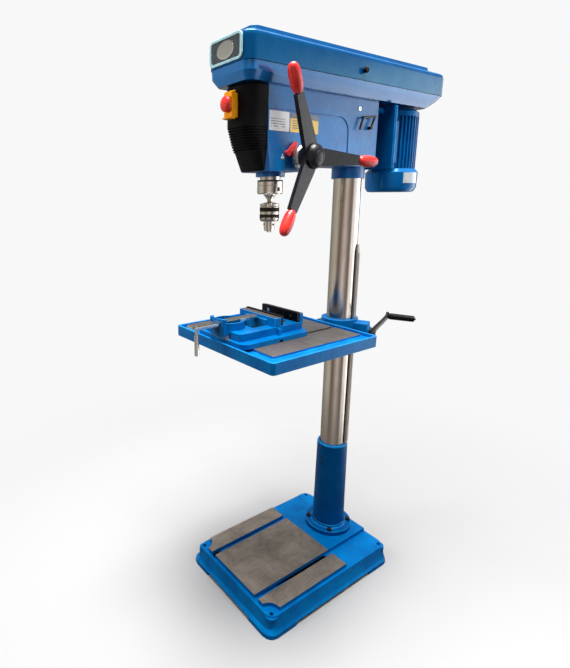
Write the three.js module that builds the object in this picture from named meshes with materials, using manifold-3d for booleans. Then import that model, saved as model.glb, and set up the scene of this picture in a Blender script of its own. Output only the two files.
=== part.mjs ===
// Floor-standing drill press with a rack-lifted tilting table and a quick-action vise.
// Millimetres, +Z up. While it is being modelled the column stands on x = 0, y = 0 and the
// operator faces the machine from -Y; at the end the whole group moves so that the middle of
// its bounding box stands over the origin.
import * as THREE from "three";
import { mergeVertices } from "three/addons/utils/BufferGeometryUtils.js";
import Module from "manifold-3d";

const wasm = await Module();
wasm.setup();

// ---------------------------------------------------------------- driving dimensions
const GAP = 0.3; // running clearance between neighbouring pieces

const BASE = { x: 221, y0: -508, y1: 98, topX: 203, topY0: -489, topY1: 90, height: 65 };
const PAD_TOP = 79; // machined pads and column platform stand proud of the base

const COLUMN_R = 46;
const COLUMN = { bottom: 83, top: 1612 };
const SLEEVE_TOP = 440;
const LIFT_ANGLE = (24 * Math.PI) / 180; // rack and crank face between +X and +Y
const RACK = { bottom: 443, top: 1193, inner: 46.6, outer: 57, half: 11 };

const TABLE = { x: 240, y0: -542, y1: -106, bottom: 898, rim: 933.5, pad: 930 };
const TILT_Z = 852; // height of the tilting axis, which runs along Y
const TILT_FACE = -205; // where the bracket's trunnion meets the table's lug
const CRANK_Z = 889;
const CRANK_LENGTH = 66;
const CRANK_LEAN = (-35 * Math.PI) / 180;

const VISE = { x: -14, y0: -532, y1: -262, bottom: 930.3, jawTop: 996 };
const BAR = { z0: 982.5, z1: 992, y0: -628, y1: -388.3 };

const HEAD = { x: 62, front: -418, back: 57, bottom: 1424, rear: 1447, top: 1650 };
const SPINDLE_Y = -350;
const QUILL_R = 30.25;
const FEED = { y: -301, z: 1463, hub: 126, pinion: 18.4 }; // feed shaft axis runs along X
const LOCK = { y: -347, z: 1474 }; // quill lock, left of the feed hub
const ARM_ANGLES = [118, -2, 238]; // degrees, 0 is backwards, 90 is up
const ARM_CONE = (7 * Math.PI) / 180;
const ARM = { start: 18, end: 176, grip: 252 };

const COVER = { x: 92, y0: -514, y1: 386, split: 1694, top: 1766, panel: 1780 };
const IDLER_Y = -55;
const MOTOR = { y: 238, r: 79, fanR: 90, bottom: 1367, fan: 1447, body: 1620, top: 1645 };
const STEP = 18; // height of one pulley step
const STEPS_Z = 1666;
const SPINDLE_STEPS = [76, 64, 52, 40];
const IDLER_STEPS = [40, 52, 64, 76];
const MOTOR_STEPS = [60, 48, 36, 24];

// ---------------------------------------------------------------- materials
const paint = (color, metalness, roughness) =>
  new THREE.MeshStandardMaterial({ color, metalness, roughness });
const BLUE = 0x0b57a8;
const STEEL = 0xb9b4ac;
const BLACK = 0x16161a;
const RED = 0xd22f2f;

// ---------------------------------------------------------------- solids
function solidOf(geometry) {
  const flat = geometry.index ? geometry.toNonIndexed() : geometry;
  const bare = new THREE.BufferGeometry();
  bare.setAttribute("position", flat.getAttribute("position"));
  const merged = mergeVertices(bare, 1e-3);
  return new wasm.Manifold(
    new wasm.Mesh({
      numProp: 3,
      vertProperties: merged.attributes.position.array,
      triVerts: new Uint32Array(merged.index.array),
    }),
  );
}

function geometryOf(solid) {
  const mesh = solid.getMesh();
  const geometry = new THREE.BufferGeometry();
  geometry.setAttribute("position", new THREE.BufferAttribute(mesh.vertProperties, 3));
  geometry.setIndex(new THREE.BufferAttribute(mesh.triVerts, 1));
  const flat = geometry.toNonIndexed();
  flat.computeVertexNormals();
  return flat;
}

const join = (...parts) =>
  geometryOf(parts.map(solidOf).reduce((sum, next) => sum.add(next)));
const cut = (body, ...tools) =>
  geometryOf(tools.map(solidOf).reduce((left, tool) => left.subtract(tool), solidOf(body)));

const box = (x0, x1, y0, y1, z0, z1) =>
  new THREE.BoxGeometry(x1 - x0, y1 - y0, z1 - z0).translate(
    (x0 + x1) / 2,
    (y0 + y1) / 2,
    (z0 + z1) / 2,
  );

// A cylinder standing on z0.
const post = (r, z0, z1, x = 0, y = 0, sides = 24) =>
  new THREE.CylinderGeometry(r, r, z1 - z0, sides)
    .rotateX(Math.PI / 2)
    .translate(x, y, (z0 + z1) / 2);

// A body of revolution about Z from [radius, height] pairs that climb on its outside.
const turned = (profile, sides = 24) =>
  new THREE.LatheGeometry(
    profile.map(([r, h]) => new THREE.Vector2(r, h)),
    sides,
  ).rotateX(Math.PI / 2);

const alongX = (g) => g.rotateY(Math.PI / 2);
const alongY = (g) => g.rotateX(-Math.PI / 2);

const outline = (points) => new THREE.Shape(points.map(([x, y]) => new THREE.Vector2(x, y)));
const extruded = (points, z0, z1, hole) => {
  const shape = outline(points);
  if (hole) shape.holes.push(outline(hole));
  return new THREE.ExtrudeGeometry(shape, { depth: z1 - z0, bevelEnabled: false }).translate(
    0,
    0,
    z0,
  );
};

// The same, with the outline given as [y, z] and swept from x0 to x1.
const sweptX = (points, x0, x1, hole) => {
  const g = extruded(points, 0, x1 - x0, hole);
  return g.applyMatrix4(new THREE.Matrix4().set(0, 0, 1, x0, 1, 0, 0, 0, 0, 1, 0, 0, 0, 0, 0, 1));
};

function roundRect(x0, x1, y0, y1, r, n = 3) {
  const points = [];
  const corners = [
    [x1 - r, y0 + r, -90],
    [x1 - r, y1 - r, 0],
    [x0 + r, y1 - r, 90],
    [x0 + r, y0 + r, 180],
  ];
  for (const [cx, cy, start] of corners)
    for (let i = 0; i <= n; i++) {
      const a = ((start + (90 * i) / n) * Math.PI) / 180;
      points.push([cx + r * Math.cos(a), cy + r * Math.sin(a)]);
    }
  return points;
}

// A solid skinned over convex outlines with equally many points, listed from the bottom up.
function loft(rings) {
  const n = rings[0].points.length;
  const position = rings.flatMap(({ points, z }) => points.flatMap(([x, y]) => [x, y, z]));
  const index = [];
  for (let k = 0; k + 1 < rings.length; k++)
    for (let i = 0; i < n; i++) {
      const a = k * n + i;
      const b = k * n + ((i + 1) % n);
      index.push(a, b, b + n, a, b + n, a + n);
    }
  const top = (rings.length - 1) * n;
  for (let i = 1; i + 1 < n; i++) index.push(0, i + 1, i, top, top + i, top + i + 1);
  const g = new THREE.BufferGeometry();
  g.setAttribute("position", new THREE.Float32BufferAttribute(position, 3));
  g.setIndex(index);
  return g;
}

const block = (x0, x1, y0, y1, z0, z1, r, n = 3) =>
  loft([z0, z1].map((z) => ({ points: roundRect(x0, x1, y0, y1, r, n), z })));

// The loop of a belt round two upright pulleys: circles of radius ra at ya and rb at yb.
function loopOutline(ya, ra, yb, rb, n = 10) {
  const tilt = Math.asin((ra - rb) / (yb - ya));
  const points = [];
  for (let i = 0; i <= n; i++) {
    const a = Math.PI - tilt + ((Math.PI + 2 * tilt) * i) / n;
    points.push([ra * Math.cos(a), ya + ra * Math.sin(a)]);
  }
  for (let i = 0; i <= n; i++) {
    const a = tilt + ((Math.PI - 2 * tilt) * i) / n;
    points.push([rb * Math.cos(a), yb + rb * Math.sin(a)]);
  }
  return points;
}

const root = new THREE.Group();
root.name = "drill_press";
function node(name, geometry, material) {
  const mesh = new THREE.Mesh(geometry, material);
  mesh.name = name;
  root.add(mesh);
  return mesh;
}

// ---------------------------------------------------------------- base
function baseRing(inset, z, shape = BASE) {
  return {
    points: roundRect(-shape.x + inset, shape.x - inset, shape.y0 + inset, shape.y1 - inset, 34),
    z,
  };
}
const baseTop = (grow, z) => ({
  points: roundRect(
    -BASE.topX - grow,
    BASE.topX + grow,
    BASE.topY0 - grow,
    BASE.topY1 + grow,
    30,
  ),
  z,
});
const FOOT = 12;
const baseShell = loft([baseRing(0, 0), baseRing(1, 14), baseTop(8, 24), baseTop(0, BASE.height)]);
const baseHollow = loft([
  baseRing(22, -1),
  { points: roundRect(-184, 184, -470, 72, 20), z: 44 },
]);
const padCorner = (sx) => post(40, PAD_TOP - 14, PAD_TOP + 1, sx * 193, -482, 20);
const basePads = join(
  box(-110, 110, -478, 86, BASE.height - 2, PAD_TOP),
  cut(box(-194, -130, -478, -122, BASE.height - 2, PAD_TOP), padCorner(-1)),
  cut(box(130, 194, -478, -122, BASE.height - 2, PAD_TOP), padCorner(1)),
);
const anchors = [
  [-187, 72],
  [187, 72],
  [-187, -472],
  [187, -472],
].map(([x, y]) => post(7, -1, PAD_TOP + 1, x, y, 12));
const anchorBosses = [
  [-187, 72],
  [187, 72],
  [-187, -472],
  [187, -472],
].map(([x, y]) => post(20, 30, BASE.height - 5, x, y, 12));
node(
  "base",
  cut(
    join(cut(baseShell, baseHollow), basePads, ...anchorBosses, post(70, 30, 60)),
    box(-118, 118, -520, 110, -1, FOOT),
    box(-230, 230, -390, -20, -1, FOOT),
    ...anchors,
  ),
  paint(BLUE, 0.1, 0.45),
);

// ---------------------------------------------------------------- column
const FLANGE_TOP = PAD_TOP + GAP + 17;
node(
  "column_sleeve",
  turned(
    [
      [COLUMN_R + GAP, PAD_TOP + GAP],
      [88, PAD_TOP + GAP],
      [88, FLANGE_TOP],
      [66, FLANGE_TOP + 1],
      [60, FLANGE_TOP + 9],
      [56, SLEEVE_TOP - 4],
      [53, SLEEVE_TOP],
      [COLUMN_R + GAP, SLEEVE_TOP],
      [COLUMN_R + GAP, PAD_TOP + GAP],
    ],
    36,
  ),
  paint(BLUE, 0.1, 0.45),
);
node(
  "column",
  turned(
    [
      [39, COLUMN.bottom],
      [COLUMN_R, COLUMN.bottom],
      [COLUMN_R, COLUMN.top],
      [39, COLUMN.top],
      [39, COLUMN.bottom],
    ],
    36,
  ),
  paint(STEEL, 0.9, 0.25),
);
// The rack hangs beside the column and turns round it with the table.
node(
  "rack",
  join(
    box(RACK.inner, RACK.outer - 3, -RACK.half, RACK.half, RACK.bottom, RACK.top - 22),
    box(RACK.inner, RACK.outer, -8, 8, RACK.bottom + 8, RACK.top - 30),
    sweptX(
      [
        [-RACK.half, RACK.top - 23],
        [RACK.half, RACK.top - 23],
        [4, RACK.top],
        [-4, RACK.top],
      ],
      RACK.inner,
      RACK.outer - 5,
    ),
  ).rotateZ(LIFT_ANGLE),
  paint(STEEL, 0.8, 0.35),
);

// ---------------------------------------------------------------- table bracket and lift
const collarSlot = box(40, RACK.outer + 1.2, -12, 12, 790, 940).rotateZ(LIFT_ANGLE);
const gearbox = join(
  block(50, 104, -30, 26, 868, 920, 8),
  alongX(post(20, 98, 108, -CRANK_Z, 0, 20)),
).rotateZ(LIFT_ANGLE);
const crankBore = alongX(post(9.3, 61, 120, -CRANK_Z, 0, 16)).rotateZ(LIFT_ANGLE);
const trunnionArm = join(
  alongY(post(36, 50, -TILT_FACE - 8, 0, 0, 24)).rotateZ(Math.PI).translate(0, 0, TILT_Z),
  alongY(post(43, -TILT_FACE - 18, -TILT_FACE, 0, 0, 24))
    .rotateZ(Math.PI)
    .translate(0, 0, TILT_Z),
  box(-9, 9, -150, -55, TILT_Z - 44, TILT_Z - 10),
);
const clampLug = cut(box(-90, -40, -18, 18, 850, 906), box(-95, -40, -2, 2, 845, 910));
node(
  "table_bracket",
  cut(
    join(post(64, 806, 930, 0, 0, 32), gearbox, trunnionArm, clampLug),
    post(COLUMN_R + GAP, 800, 940, 0, 0, 36),
    collarSlot,
    crankBore,
    alongY(post(10.3, 120, 220, 0, 0, 14)).rotateZ(Math.PI).translate(0, 0, TILT_Z),
    alongY(post(6.4, -30, 30, -77, -878, 12)),
    box(-95, -44, -2, 2, 790, 940),
  ),
  paint(BLUE, 0.1, 0.45),
);
// Clamp lever of the bracket: its screw crosses the split of the collar.
node(
  "bracket_clamp_lever",
  join(
    alongY(post(6, -30, 26, -77, -878, 12)),
    alongY(post(11, -30, -18.4, -77, -878, 14)),
    box(-81, -73, -29, -21, 822, 878),
    new THREE.SphereGeometry(11, 12, 8).translate(-77, -25, 818),
  ),
  paint(BLACK, 0.3, 0.5),
);

const onCrank = (g) => {
  g.translate(0, 0, -CRANK_Z).rotateX(CRANK_LEAN).translate(0, 0, CRANK_Z);
  return g.rotateZ(LIFT_ANGLE);
};
node(
  "crank_shaft",
  join(alongX(post(9, 62, 116, -CRANK_Z, 0, 16)), alongX(post(15, 108.3, 116, -CRANK_Z, 0, 20)))
    .rotateZ(LIFT_ANGLE),
  paint(BLACK, 0.5, 0.4),
);
const armTop = CRANK_Z + CRANK_LENGTH;
const armProfile = [
  [116.3, CRANK_Z - 12],
  [128, CRANK_Z - 12],
  [129, CRANK_Z + 10],
  [150, armTop - 22],
  [160, armTop - 4],
  [161, armTop + 12],
  [153, armTop + 12],
  [151, armTop - 2],
  [141, armTop - 19],
  [118, CRANK_Z + 14],
];
const crankPlate = extruded(armProfile, -10, 10).applyMatrix4(
  new THREE.Matrix4().set(1, 0, 0, 0, 0, 0, -1, 0, 0, 1, 0, 0, 0, 0, 0, 1),
);
node(
  "crank_arm",
  onCrank(join(crankPlate, alongX(post(4, 158, 249, -armTop, 0, 10)))),
  paint(BLACK, 0.4, 0.45),
);
node(
  "crank_grip",
  onCrank(
    alongX(
      turned(
        [
          [4.4, 161.4],
          [10, 161.4],
          [11, 170],
          [10.5, 238],
          [9, 245],
          [4.4, 245],
          [4.4, 161.4],
        ],
        16,
      ),
    ).translate(0, 0, armTop),
  ),
  paint(BLACK, 0.0, 0.5),
);

// ---------------------------------------------------------------- table
const tableSlot = (x) =>
  join(
    box(x - 7, x + 7, -500, -118, TABLE.pad - 22, TABLE.pad + 2),
    box(x - 12.5, x + 12.5, -500, -118, TABLE.pad - 22, TABLE.pad - 12),
  );
const tableTray = block(-232, 232, -534, -114, 922, 940, 8, 2);
const tablePad = box(-190, 190, -496, -126, 915, TABLE.pad);
const tableCells = [
  [-230, -102],
  [-58, 58],
  [102, 230],
].map(([x0, x1]) => box(x0, x1, -532, -116, TABLE.bottom - 1, 909));
const tableLug = join(
  box(-42, 42, -268, TILT_FACE - GAP, TILT_Z, 912),
  alongY(post(42, -TILT_FACE + GAP, 268, 0, 0, 24)).rotateZ(Math.PI).translate(0, 0, TILT_Z),
);
const tableCasting = join(
  cut(
    block(-TABLE.x, TABLE.x, TABLE.y0, TABLE.y1, TABLE.bottom, TABLE.rim, 10, 2),
    tableTray,
    ...tableCells,
  ),
  tablePad,
  tableLug,
);
node(
  "table",
  cut(
    tableCasting,
    tableSlot(-80),
    tableSlot(80),
    alongY(post(10.3, 190, 280, 0, 0, 14)).rotateZ(Math.PI).translate(0, 0, TILT_Z),
  ),
  paint(BLUE, 0.1, 0.45),
);
node(
  "tilt_bolt",
  join(
    alongY(post(10, 126, 285, 0, 0, 14)).rotateZ(Math.PI),
    alongY(post(17, 268.4, 282, 0, 0, 6)).rotateZ(Math.PI),
  ).translate(0, 0, TILT_Z),
  paint(STEEL, 0.8, 0.35),
);

// ---------------------------------------------------------------- vise
const vx = VISE.x;
const RING = { y: -494, r: 50, bore: 45, top: 992 };
const viseBody = join(
  block(vx - 120, vx + 120, VISE.y0, VISE.y1, VISE.bottom, 945, 24),
  block(vx - 90, vx + 90, -520, VISE.y1 - 1, 944, 968, 10, 2),
  box(vx - 86, vx + 86, -276, VISE.y1 - 1, 960, VISE.jawTop),
  post(RING.r, 960, RING.top, vx, RING.y, 28),
  block(vx - 34, vx + 36, -541, -523.5, 950, 1004, 4, 1),
);
node(
  "vise_body",
  cut(
    viseBody,
    box(vx - 52, vx + 52, -440, -300, 944, 1000),
    post(RING.bore, 944, 1010, vx, RING.y, 28),
    box(vx - 24.5, vx + 24.5, -560, RING.y, BAR.z0 - 0.5, BAR.z1 + 1.5),
    box(vx - 24.5, vx + 24.5, RING.y, -430, BAR.z0 - 0.5, 1010),
    box(vx - 125, vx + 125, -392, -378, 925, 938),
  ),
  paint(BLUE, 0.1, 0.4),
);
node(
  "vise_fixed_plate",
  box(vx - 84, vx + 84, -286, -276.3, 968.4, 999),
  paint(BLACK, 0.6, 0.45),
);
node(
  "vise_moving_jaw",
  join(
    box(vx - 86, vx + 86, -382, -356.3, 968.4, VISE.jawTop - 1),
    box(vx - 50, vx + 50, -388, -356.3, 946, 985),
  ),
  paint(BLUE, 0.1, 0.4),
);
node(
  "vise_moving_plate",
  box(vx - 84, vx + 84, -356, -346, 968.4, 998),
  paint(BLACK, 0.6, 0.45),
);
node(
  "vise_bar",
  cut(
    join(
      box(vx - 22, vx + 22, BAR.y0, -540, BAR.z0, BAR.z1),
      box(vx - 15, vx + 15, -541, BAR.y1, BAR.z0, BAR.z1),
    ),
    box(vx + 5.5, vx + 18.5, BAR.y0 - 1, -608, BAR.z0 - 1, BAR.z1 + 1),
  ),
  paint(STEEL, 0.8, 0.35),
);
node(
  "vise_handle",
  join(
    alongX(post(6.6, vx + 6, vx + 18, 0, 0, 12)).translate(0, -618, 987),
    post(5, 930, 984, vx + 12, -618, 12),
    post(7, 904, 966, vx + 12, -618, 12),
  ),
  paint(STEEL, 0.7, 0.4),
);

// ---------------------------------------------------------------- head
const headSide = [
  [HEAD.front, HEAD.bottom],
  [-288, HEAD.bottom],
  [-262, HEAD.rear],
  [HEAD.back, HEAD.rear],
  [HEAD.back, HEAD.top],
  [HEAD.front, HEAD.top],
];
// Shallow groove along each flank: level at first, then round a corner and down.
function grooveBand(half) {
  const r = 40;
  const at = (dr) => {
    const pts = [];
    for (let i = 0; i <= 5; i++) {
      const a = Math.PI / 2 - (Math.PI / 2) * (i / 5);
      pts.push([-127 + (r + dr) * Math.cos(a), 1547 + (r + dr) * Math.sin(a)]);
    }
    return pts;
  };
  return [
    [HEAD.front + 6, 1587 + half],
    ...at(half),
    [-87 + half, HEAD.rear - 1],
    [-87 - half, HEAD.rear - 1],
    ...at(-half).reverse(),
    [HEAD.front + 6, 1587 - half],
  ];
}
// The lower front corners of the head run in to the quill's barrel.
const headCorner = loft([
  { points: [[48.5, -419], [63, -419], [63, -404.5]], z: HEAD.bottom - 4 },
  { points: [[62.2, -419], [63, -419], [63, -418.2]], z: 1502 },
]);
const headCornerLeft = loft([
  { points: [[-63, -404.5], [-63, -419], [-48.5, -419]], z: HEAD.bottom - 4 },
  { points: [[-63, -418.2], [-63, -419], [-62.2, -419]], z: 1502 },
]);
const feedBore = (r, x0, x1) => alongX(post(r, x0, x1, -FEED.z, FEED.y, 24));
node(
  "head_casting",
  cut(
    join(
      sweptX(headSide, -HEAD.x, HEAD.x),
      post(43, 1411, HEAD.bottom + 10, 0, SPINDLE_Y, 30),
      post(54, 1411, HEAD.rear + 5, 0, 0, 32),
      feedBore(30, 50, 72),
    ),
    post(QUILL_R + 0.5, 1400, HEAD.top + 5, 0, SPINDLE_Y, 30),
    post(COLUMN_R + GAP, 1400, COLUMN.top + GAP, 0, 0, 36),
    headCorner,
    headCornerLeft,
    feedBore(FEED.pinion + 0.6, -HEAD.x - 2, 76),
    sweptX(grooveBand(3.5), HEAD.x - 2.5, HEAD.x + 2),
    sweptX(grooveBand(3.5), -HEAD.x - 2, -HEAD.x + 2.5),
    ...[-35, 35].map((x) => alongY(post(9.3, -80, 80, x, -1630, 12))),
    box(-HEAD.x + 10, HEAD.x - 10, -268, -62, 1464, 1612),
    box(-HEAD.x + 10, HEAD.x - 10, -300, -90, 1600, HEAD.top + 1),
    alongX(post(5.3, 48, 70, -1566, 12, 12)),
    alongX(post(5.3, 40, 70, -LOCK.z, LOCK.y, 12)),
  ),
  paint(BLUE, 0.1, 0.45),
);

const noseRing = (half, front, z, inset = 0) => {
  const back = HEAD.front - GAP + (inset ? 1 : 0);
  const side = half - inset;
  const depth = back - front - inset;
  const at = (across, ahead) => [across * side, back - ahead * depth];
  return {
    points: [
      at(1, 0),
      at(-1, 0),
      at(-1, 0.42),
      at(-0.74, 0.82),
      at(-0.44, 1),
      at(0.44, 1),
      at(0.74, 0.82),
      at(1, 0.42),
    ],
    z,
  };
};
const nose = cut(
  loft([
    noseRing(50, -425, 1425),
    noseRing(57, -456, 1477),
    noseRing(57.5, -463, 1479),
    noseRing(61, -472, 1502),
    noseRing(61, -486, 1540),
    noseRing(61, -487, HEAD.top - 2),
  ]),
  loft([
    noseRing(58, -464, 1484, 4),
    noseRing(61, -472, 1504, 4),
    noseRing(61, -486, 1541, 4),
    noseRing(61, -487, 1640, 4),
  ]),
);
node("nose_cover", nose, paint(BLACK, 0.0, 0.55));

// ---------------------------------------------------------------- quill, spindle and chuck
const atSpindle = (g) => g.translate(0, SPINDLE_Y, 0);
node(
  "quill",
  atSpindle(
    turned(
      [
        [16, 1367],
        [QUILL_R, 1367],
        [QUILL_R, 1612],
        [16, 1612],
        [16, 1367],
      ],
      30,
    ),
  ),
  paint(STEEL, 0.9, 0.3),
);
node(
  "quill_collar",
  atSpindle(
    turned(
      [
        [QUILL_R + GAP, 1361],
        [36, 1361],
        [38, 1363],
        [38, 1399],
        [36.5, 1402],
        [QUILL_R + GAP, 1402],
        [QUILL_R + GAP, 1361],
      ],
      30,
    ),
  ),
  paint(STEEL, 0.9, 0.25),
);
node(
  "spindle",
  atSpindle(
    turned(
      [
        [0, 1312],
        [6, 1312],
        [8, 1345],
        [17, 1357],
        [19.5, 1361],
        [19.5, 1365],
        [15.5, 1366.5],
        [15.5, 1598],
        [9.5, 1602],
        [9.5, 1742],
        [0, 1742],
      ],
      20,
    ),
  ),
  paint(STEEL, 0.9, 0.3),
);
node(
  "chuck_body",
  atSpindle(
    turned(
      [
        [11, 1252],
        [14.5, 1252],
        [16.5, 1262],
        [16.5, 1280],
        [21, 1280.5],
        [21, 1326.5],
        [27.5, 1326.5],
        [29.4, 1328.5],
        [29.4, 1332],
        [14, 1337],
        [8.4, 1337],
        [6.5, 1308],
        [0, 1308],
        [0, 1302],
        [11, 1302],
        [11, 1252],
      ],
      24,
    ),
  ),
  paint(STEEL, 0.9, 0.3),
);
node(
  "chuck_sleeve",
  atSpindle(
    turned(
      [
        [21.4, 1281.5],
        [26, 1281.5],
        [29.4, 1289],
        [29.4, 1302],
        [28, 1303.5],
        [28, 1309],
        [29.4, 1310.5],
        [29.4, 1322],
        [27.5, 1326],
        [21.4, 1326],
        [21.4, 1281.5],
      ],
      24,
    ),
  ),
  paint(STEEL, 0.8, 0.35),
);
for (let i = 0; i < 3; i++) {
  const jaw = extruded(
    [
      [3.4, 0],
      [4.8, -2.4],
      [7, -2.4],
      [7, 2.4],
      [4.8, 2.4],
    ],
    1248,
    1286,
  ).rotateZ((i * 2 * Math.PI) / 3 - Math.PI / 2);
  node(`chuck_jaw_${i + 1}`, atSpindle(jaw), paint(STEEL, 0.8, 0.4));
}

// ---------------------------------------------------------------- feed
const onFeed = (g) => g.translate(0, FEED.y, FEED.z);
node(
  "feed_shaft",
  onFeed(join(alongX(post(FEED.pinion, -56, 64, 0, 0, 20)), alongX(post(12, -80, 108, 0, 0, 16)))),
  paint(STEEL, 0.8, 0.4),
);
node(
  "depth_dial",
  onFeed(
    alongX(
      turned(
        [
          [12.4, 76],
          [35, 76],
          [35, 90],
          [32, 94],
          [12.4, 94],
          [12.4, 76],
        ],
        28,
      ),
    ),
  ),
  paint(0xd8d8d4, 0.6, 0.35),
);
const hubBlank = alongX(
  turned(
    [
      [12.4, 96],
      [30, 96],
      [34, 101],
      [34, 128],
      [26, 142],
      [12, 149],
      [0, 150],
      [0, 109],
      [12.4, 109],
      [12.4, 96],
    ],
    24,
  ),
);
const armSocket = (a, reach) =>
  box(-7.3, 7.3, -24.3, 24.3, ARM.start, reach)
    .rotateY(ARM_CONE)
    .rotateX(((a - 90) * Math.PI) / 180)
    .translate(FEED.hub - 8, 0, 0);
node(
  "feed_hub",
  onFeed(cut(hubBlank, ...ARM_ANGLES.map((a) => armSocket(a, 60)))),
  paint(BLACK, 0.3, 0.35),
);
ARM_ANGLES.forEach((a, i) => {
  const place = (g) =>
    g
      .rotateY(ARM_CONE)
      .rotateX(((a - 90) * Math.PI) / 180)
      .translate(FEED.hub - 8, FEED.y, FEED.z);
  const blade = sweptX(
    [
      [-24, ARM.start + GAP],
      [24, ARM.start + GAP],
      [24, 44],
      [14, ARM.end - GAP],
      [-14, ARM.end - GAP],
      [-24, 44],
    ],
    -7,
    7,
  );
  node(
    `feed_arm_${i + 1}`,
    place(join(blade, post(5, ARM.end - 6, ARM.grip - 12, 0, 0, 10))),
    paint(BLACK, 0.3, 0.4),
  );
  const grip = turned(
    [
      [5.4, ARM.end],
      [11, ARM.end],
      [14.5, ARM.end + 8],
      [17, ARM.end + 32],
      [16.5, ARM.end + 54],
      [12.5, ARM.grip - 6],
      [6, ARM.grip],
      [0, ARM.grip],
      [0, ARM.grip - 11],
      [5.4, ARM.grip - 11],
      [5.4, ARM.end],
    ],
    18,
  );
  node(`feed_grip_${i + 1}`, place(grip), paint(RED, 0.0, 0.35));
});
node(
  "spring_cap",
  onFeed(
    alongX(
      turned(
        [
          [12.4, -84],
          [12.4, -HEAD.x - GAP],
          [40, -HEAD.x - GAP],
          [40, -86],
          [36, -92],
          [0, -92],
          [0, -84],
          [12.4, -84],
        ].reverse(),
        24,
      ),
    ),
  ),
  paint(BLACK, 0.3, 0.4),
);
// Outline of a bar with round ends.
function capsule(a, b, r, n = 7) {
  const lean = Math.atan2(b[1] - a[1], b[0] - a[0]);
  const end = ([u, v], from) =>
    Array.from({ length: n + 1 }, (_, i) => {
      const t = from + (Math.PI * i) / n;
      return [u + r * Math.cos(t), v + r * Math.sin(t)];
    });
  return [...end(b, lean - Math.PI / 2), ...end(a, lean + Math.PI / 2)];
}
node(
  "quill_lock_lever",
  join(
    alongX(post(5, 42, 74, -LOCK.z, LOCK.y, 12)),
    alongX(post(8, 62.4, 75, -LOCK.z, LOCK.y, 14)),
    sweptX(capsule([LOCK.y, LOCK.z], [LOCK.y + 27, LOCK.z + 26], 6), 66, 74.6),
  ),
  paint(RED, 0.0, 0.35),
);

// ---------------------------------------------------------------- switch on the nose
const FACE = -487 - GAP; // front face of the nose cover
const SWITCH_Z = { start: 1615, mushroom: 1598, stop: 1581 };
const intoFace = (r, depth, z, length) =>
  post(r, 0, length, 0, 0, 16)
    .rotateX(Math.PI / 2)
    .translate(0, FACE - depth, z);
node(
  "switch_base",
  cut(
    box(-17, 17, FACE - 9, FACE, 1564, 1626),
    intoFace(7.6, 4, SWITCH_Z.start, 10),
    intoFace(7.6, 4, SWITCH_Z.stop, 10),
  ),
  paint(0xf2b705, 0.0, 0.5),
);
for (const [name, z, color] of [
  ["start_button", SWITCH_Z.start, 0x1f9d45],
  ["stop_button", SWITCH_Z.stop, RED],
])
  node(name, intoFace(7.2, 6.5, z, 6), paint(color, 0.0, 0.4));
node(
  "switch_flap",
  cut(
    join(
      box(-17, 17, FACE - 21, FACE - 9.3, 1560, 1628.5),
      alongX(post(3.2, -19, 19, -1629.5, FACE - 13, 14)),
      box(-12, 12, FACE - 31, FACE - 19, 1560, 1563.5),
    ),
    box(-14, 14, FACE - 18, FACE - 9, 1563, 1623),
    intoFace(8.4, 10, SWITCH_Z.mushroom, 30),
  ),
  paint(0xf2b705, 0.0, 0.5),
);
node(
  "stop_mushroom",
  turned(
    [
      [0, 16.6],
      [8, 16.6],
      [8, 25.4],
      [20, 25.5],
      [21, 29],
      [19, 34],
      [11, 38],
      [0, 39],
    ],
    20,
  )
    .rotateX(Math.PI / 2)
    .translate(0, FACE, SWITCH_Z.mushroom),
  paint(RED, 0.0, 0.35),
);

// ---------------------------------------------------------------- belt drive
function pulley(steps, grooved, bore, sleeve) {
  const last = STEPS_Z + steps.length * STEP;
  const profile = [[bore, sleeve.bottom]];
  profile.push([sleeve.r, sleeve.bottom], [sleeve.r, STEPS_Z]);
  steps.forEach((r, i) => {
    const z = STEPS_Z + i * STEP;
    profile.push([r, z]);
    if (grooved.includes(i))
      profile.push([r, z + 3], [r - 9.8, z + 4], [r - 9.8, z + 14], [r, z + 15]);
    profile.push([r, z + STEP]);
  });
  profile.push([bore, last], [bore, sleeve.bottom]);
  return turned(profile, 20);
}
node(
  "spindle_pulley",
  atSpindle(pulley(SPINDLE_STEPS, [1], 10, { r: 17, bottom: 1616 })),
  paint(0x9fa3a8, 0.8, 0.4),
);
node(
  "spindle_bearing",
  atSpindle(
    turned(
      [
        [17.4, 1624],
        [QUILL_R + 0.2, 1624],
        [QUILL_R + 0.2, 1649],
        [17.4, 1649],
        [17.4, 1624],
      ],
      24,
    ),
  ),
  paint(STEEL, 0.8, 0.35),
);
node(
  "idler_pulley",
  pulley(IDLER_STEPS, [1, 2], 10, { r: 16, bottom: 1662 }).translate(0, IDLER_Y, 0),
  paint(0x9fa3a8, 0.8, 0.4),
);
node(
  "idler_post",
  turned(
    [
      [0, 1654.4],
      [24, 1654.4],
      [24, 1661],
      [9.6, 1661.5],
      [9.6, 1746],
      [0, 1746],
    ],
    18,
  ).translate(0, IDLER_Y, 0),
  paint(STEEL, 0.8, 0.35),
);
node(
  "motor_pulley",
  pulley(MOTOR_STEPS, [2], 9.6, { r: 18, bottom: 1663 }).translate(0, MOTOR.y, 0),
  paint(0x9fa3a8, 0.8, 0.4),
);
function belt(step, ya, ra, yb, rb) {
  const z = STEPS_Z + step * STEP;
  return extruded(
    loopOutline(ya, ra - 0.4, yb, rb - 0.4),
    z + 4.3,
    z + 13.7,
    loopOutline(ya, ra - 8.4, yb, rb - 8.4),
  );
}
node("belt_front", belt(1, SPINDLE_Y, 64, IDLER_Y, 52), paint(0x1c1c1c, 0.0, 0.8));
node("belt_rear", belt(2, IDLER_Y, 64, MOTOR.y, 36), paint(0x1c1c1c, 0.0, 0.8));

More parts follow.
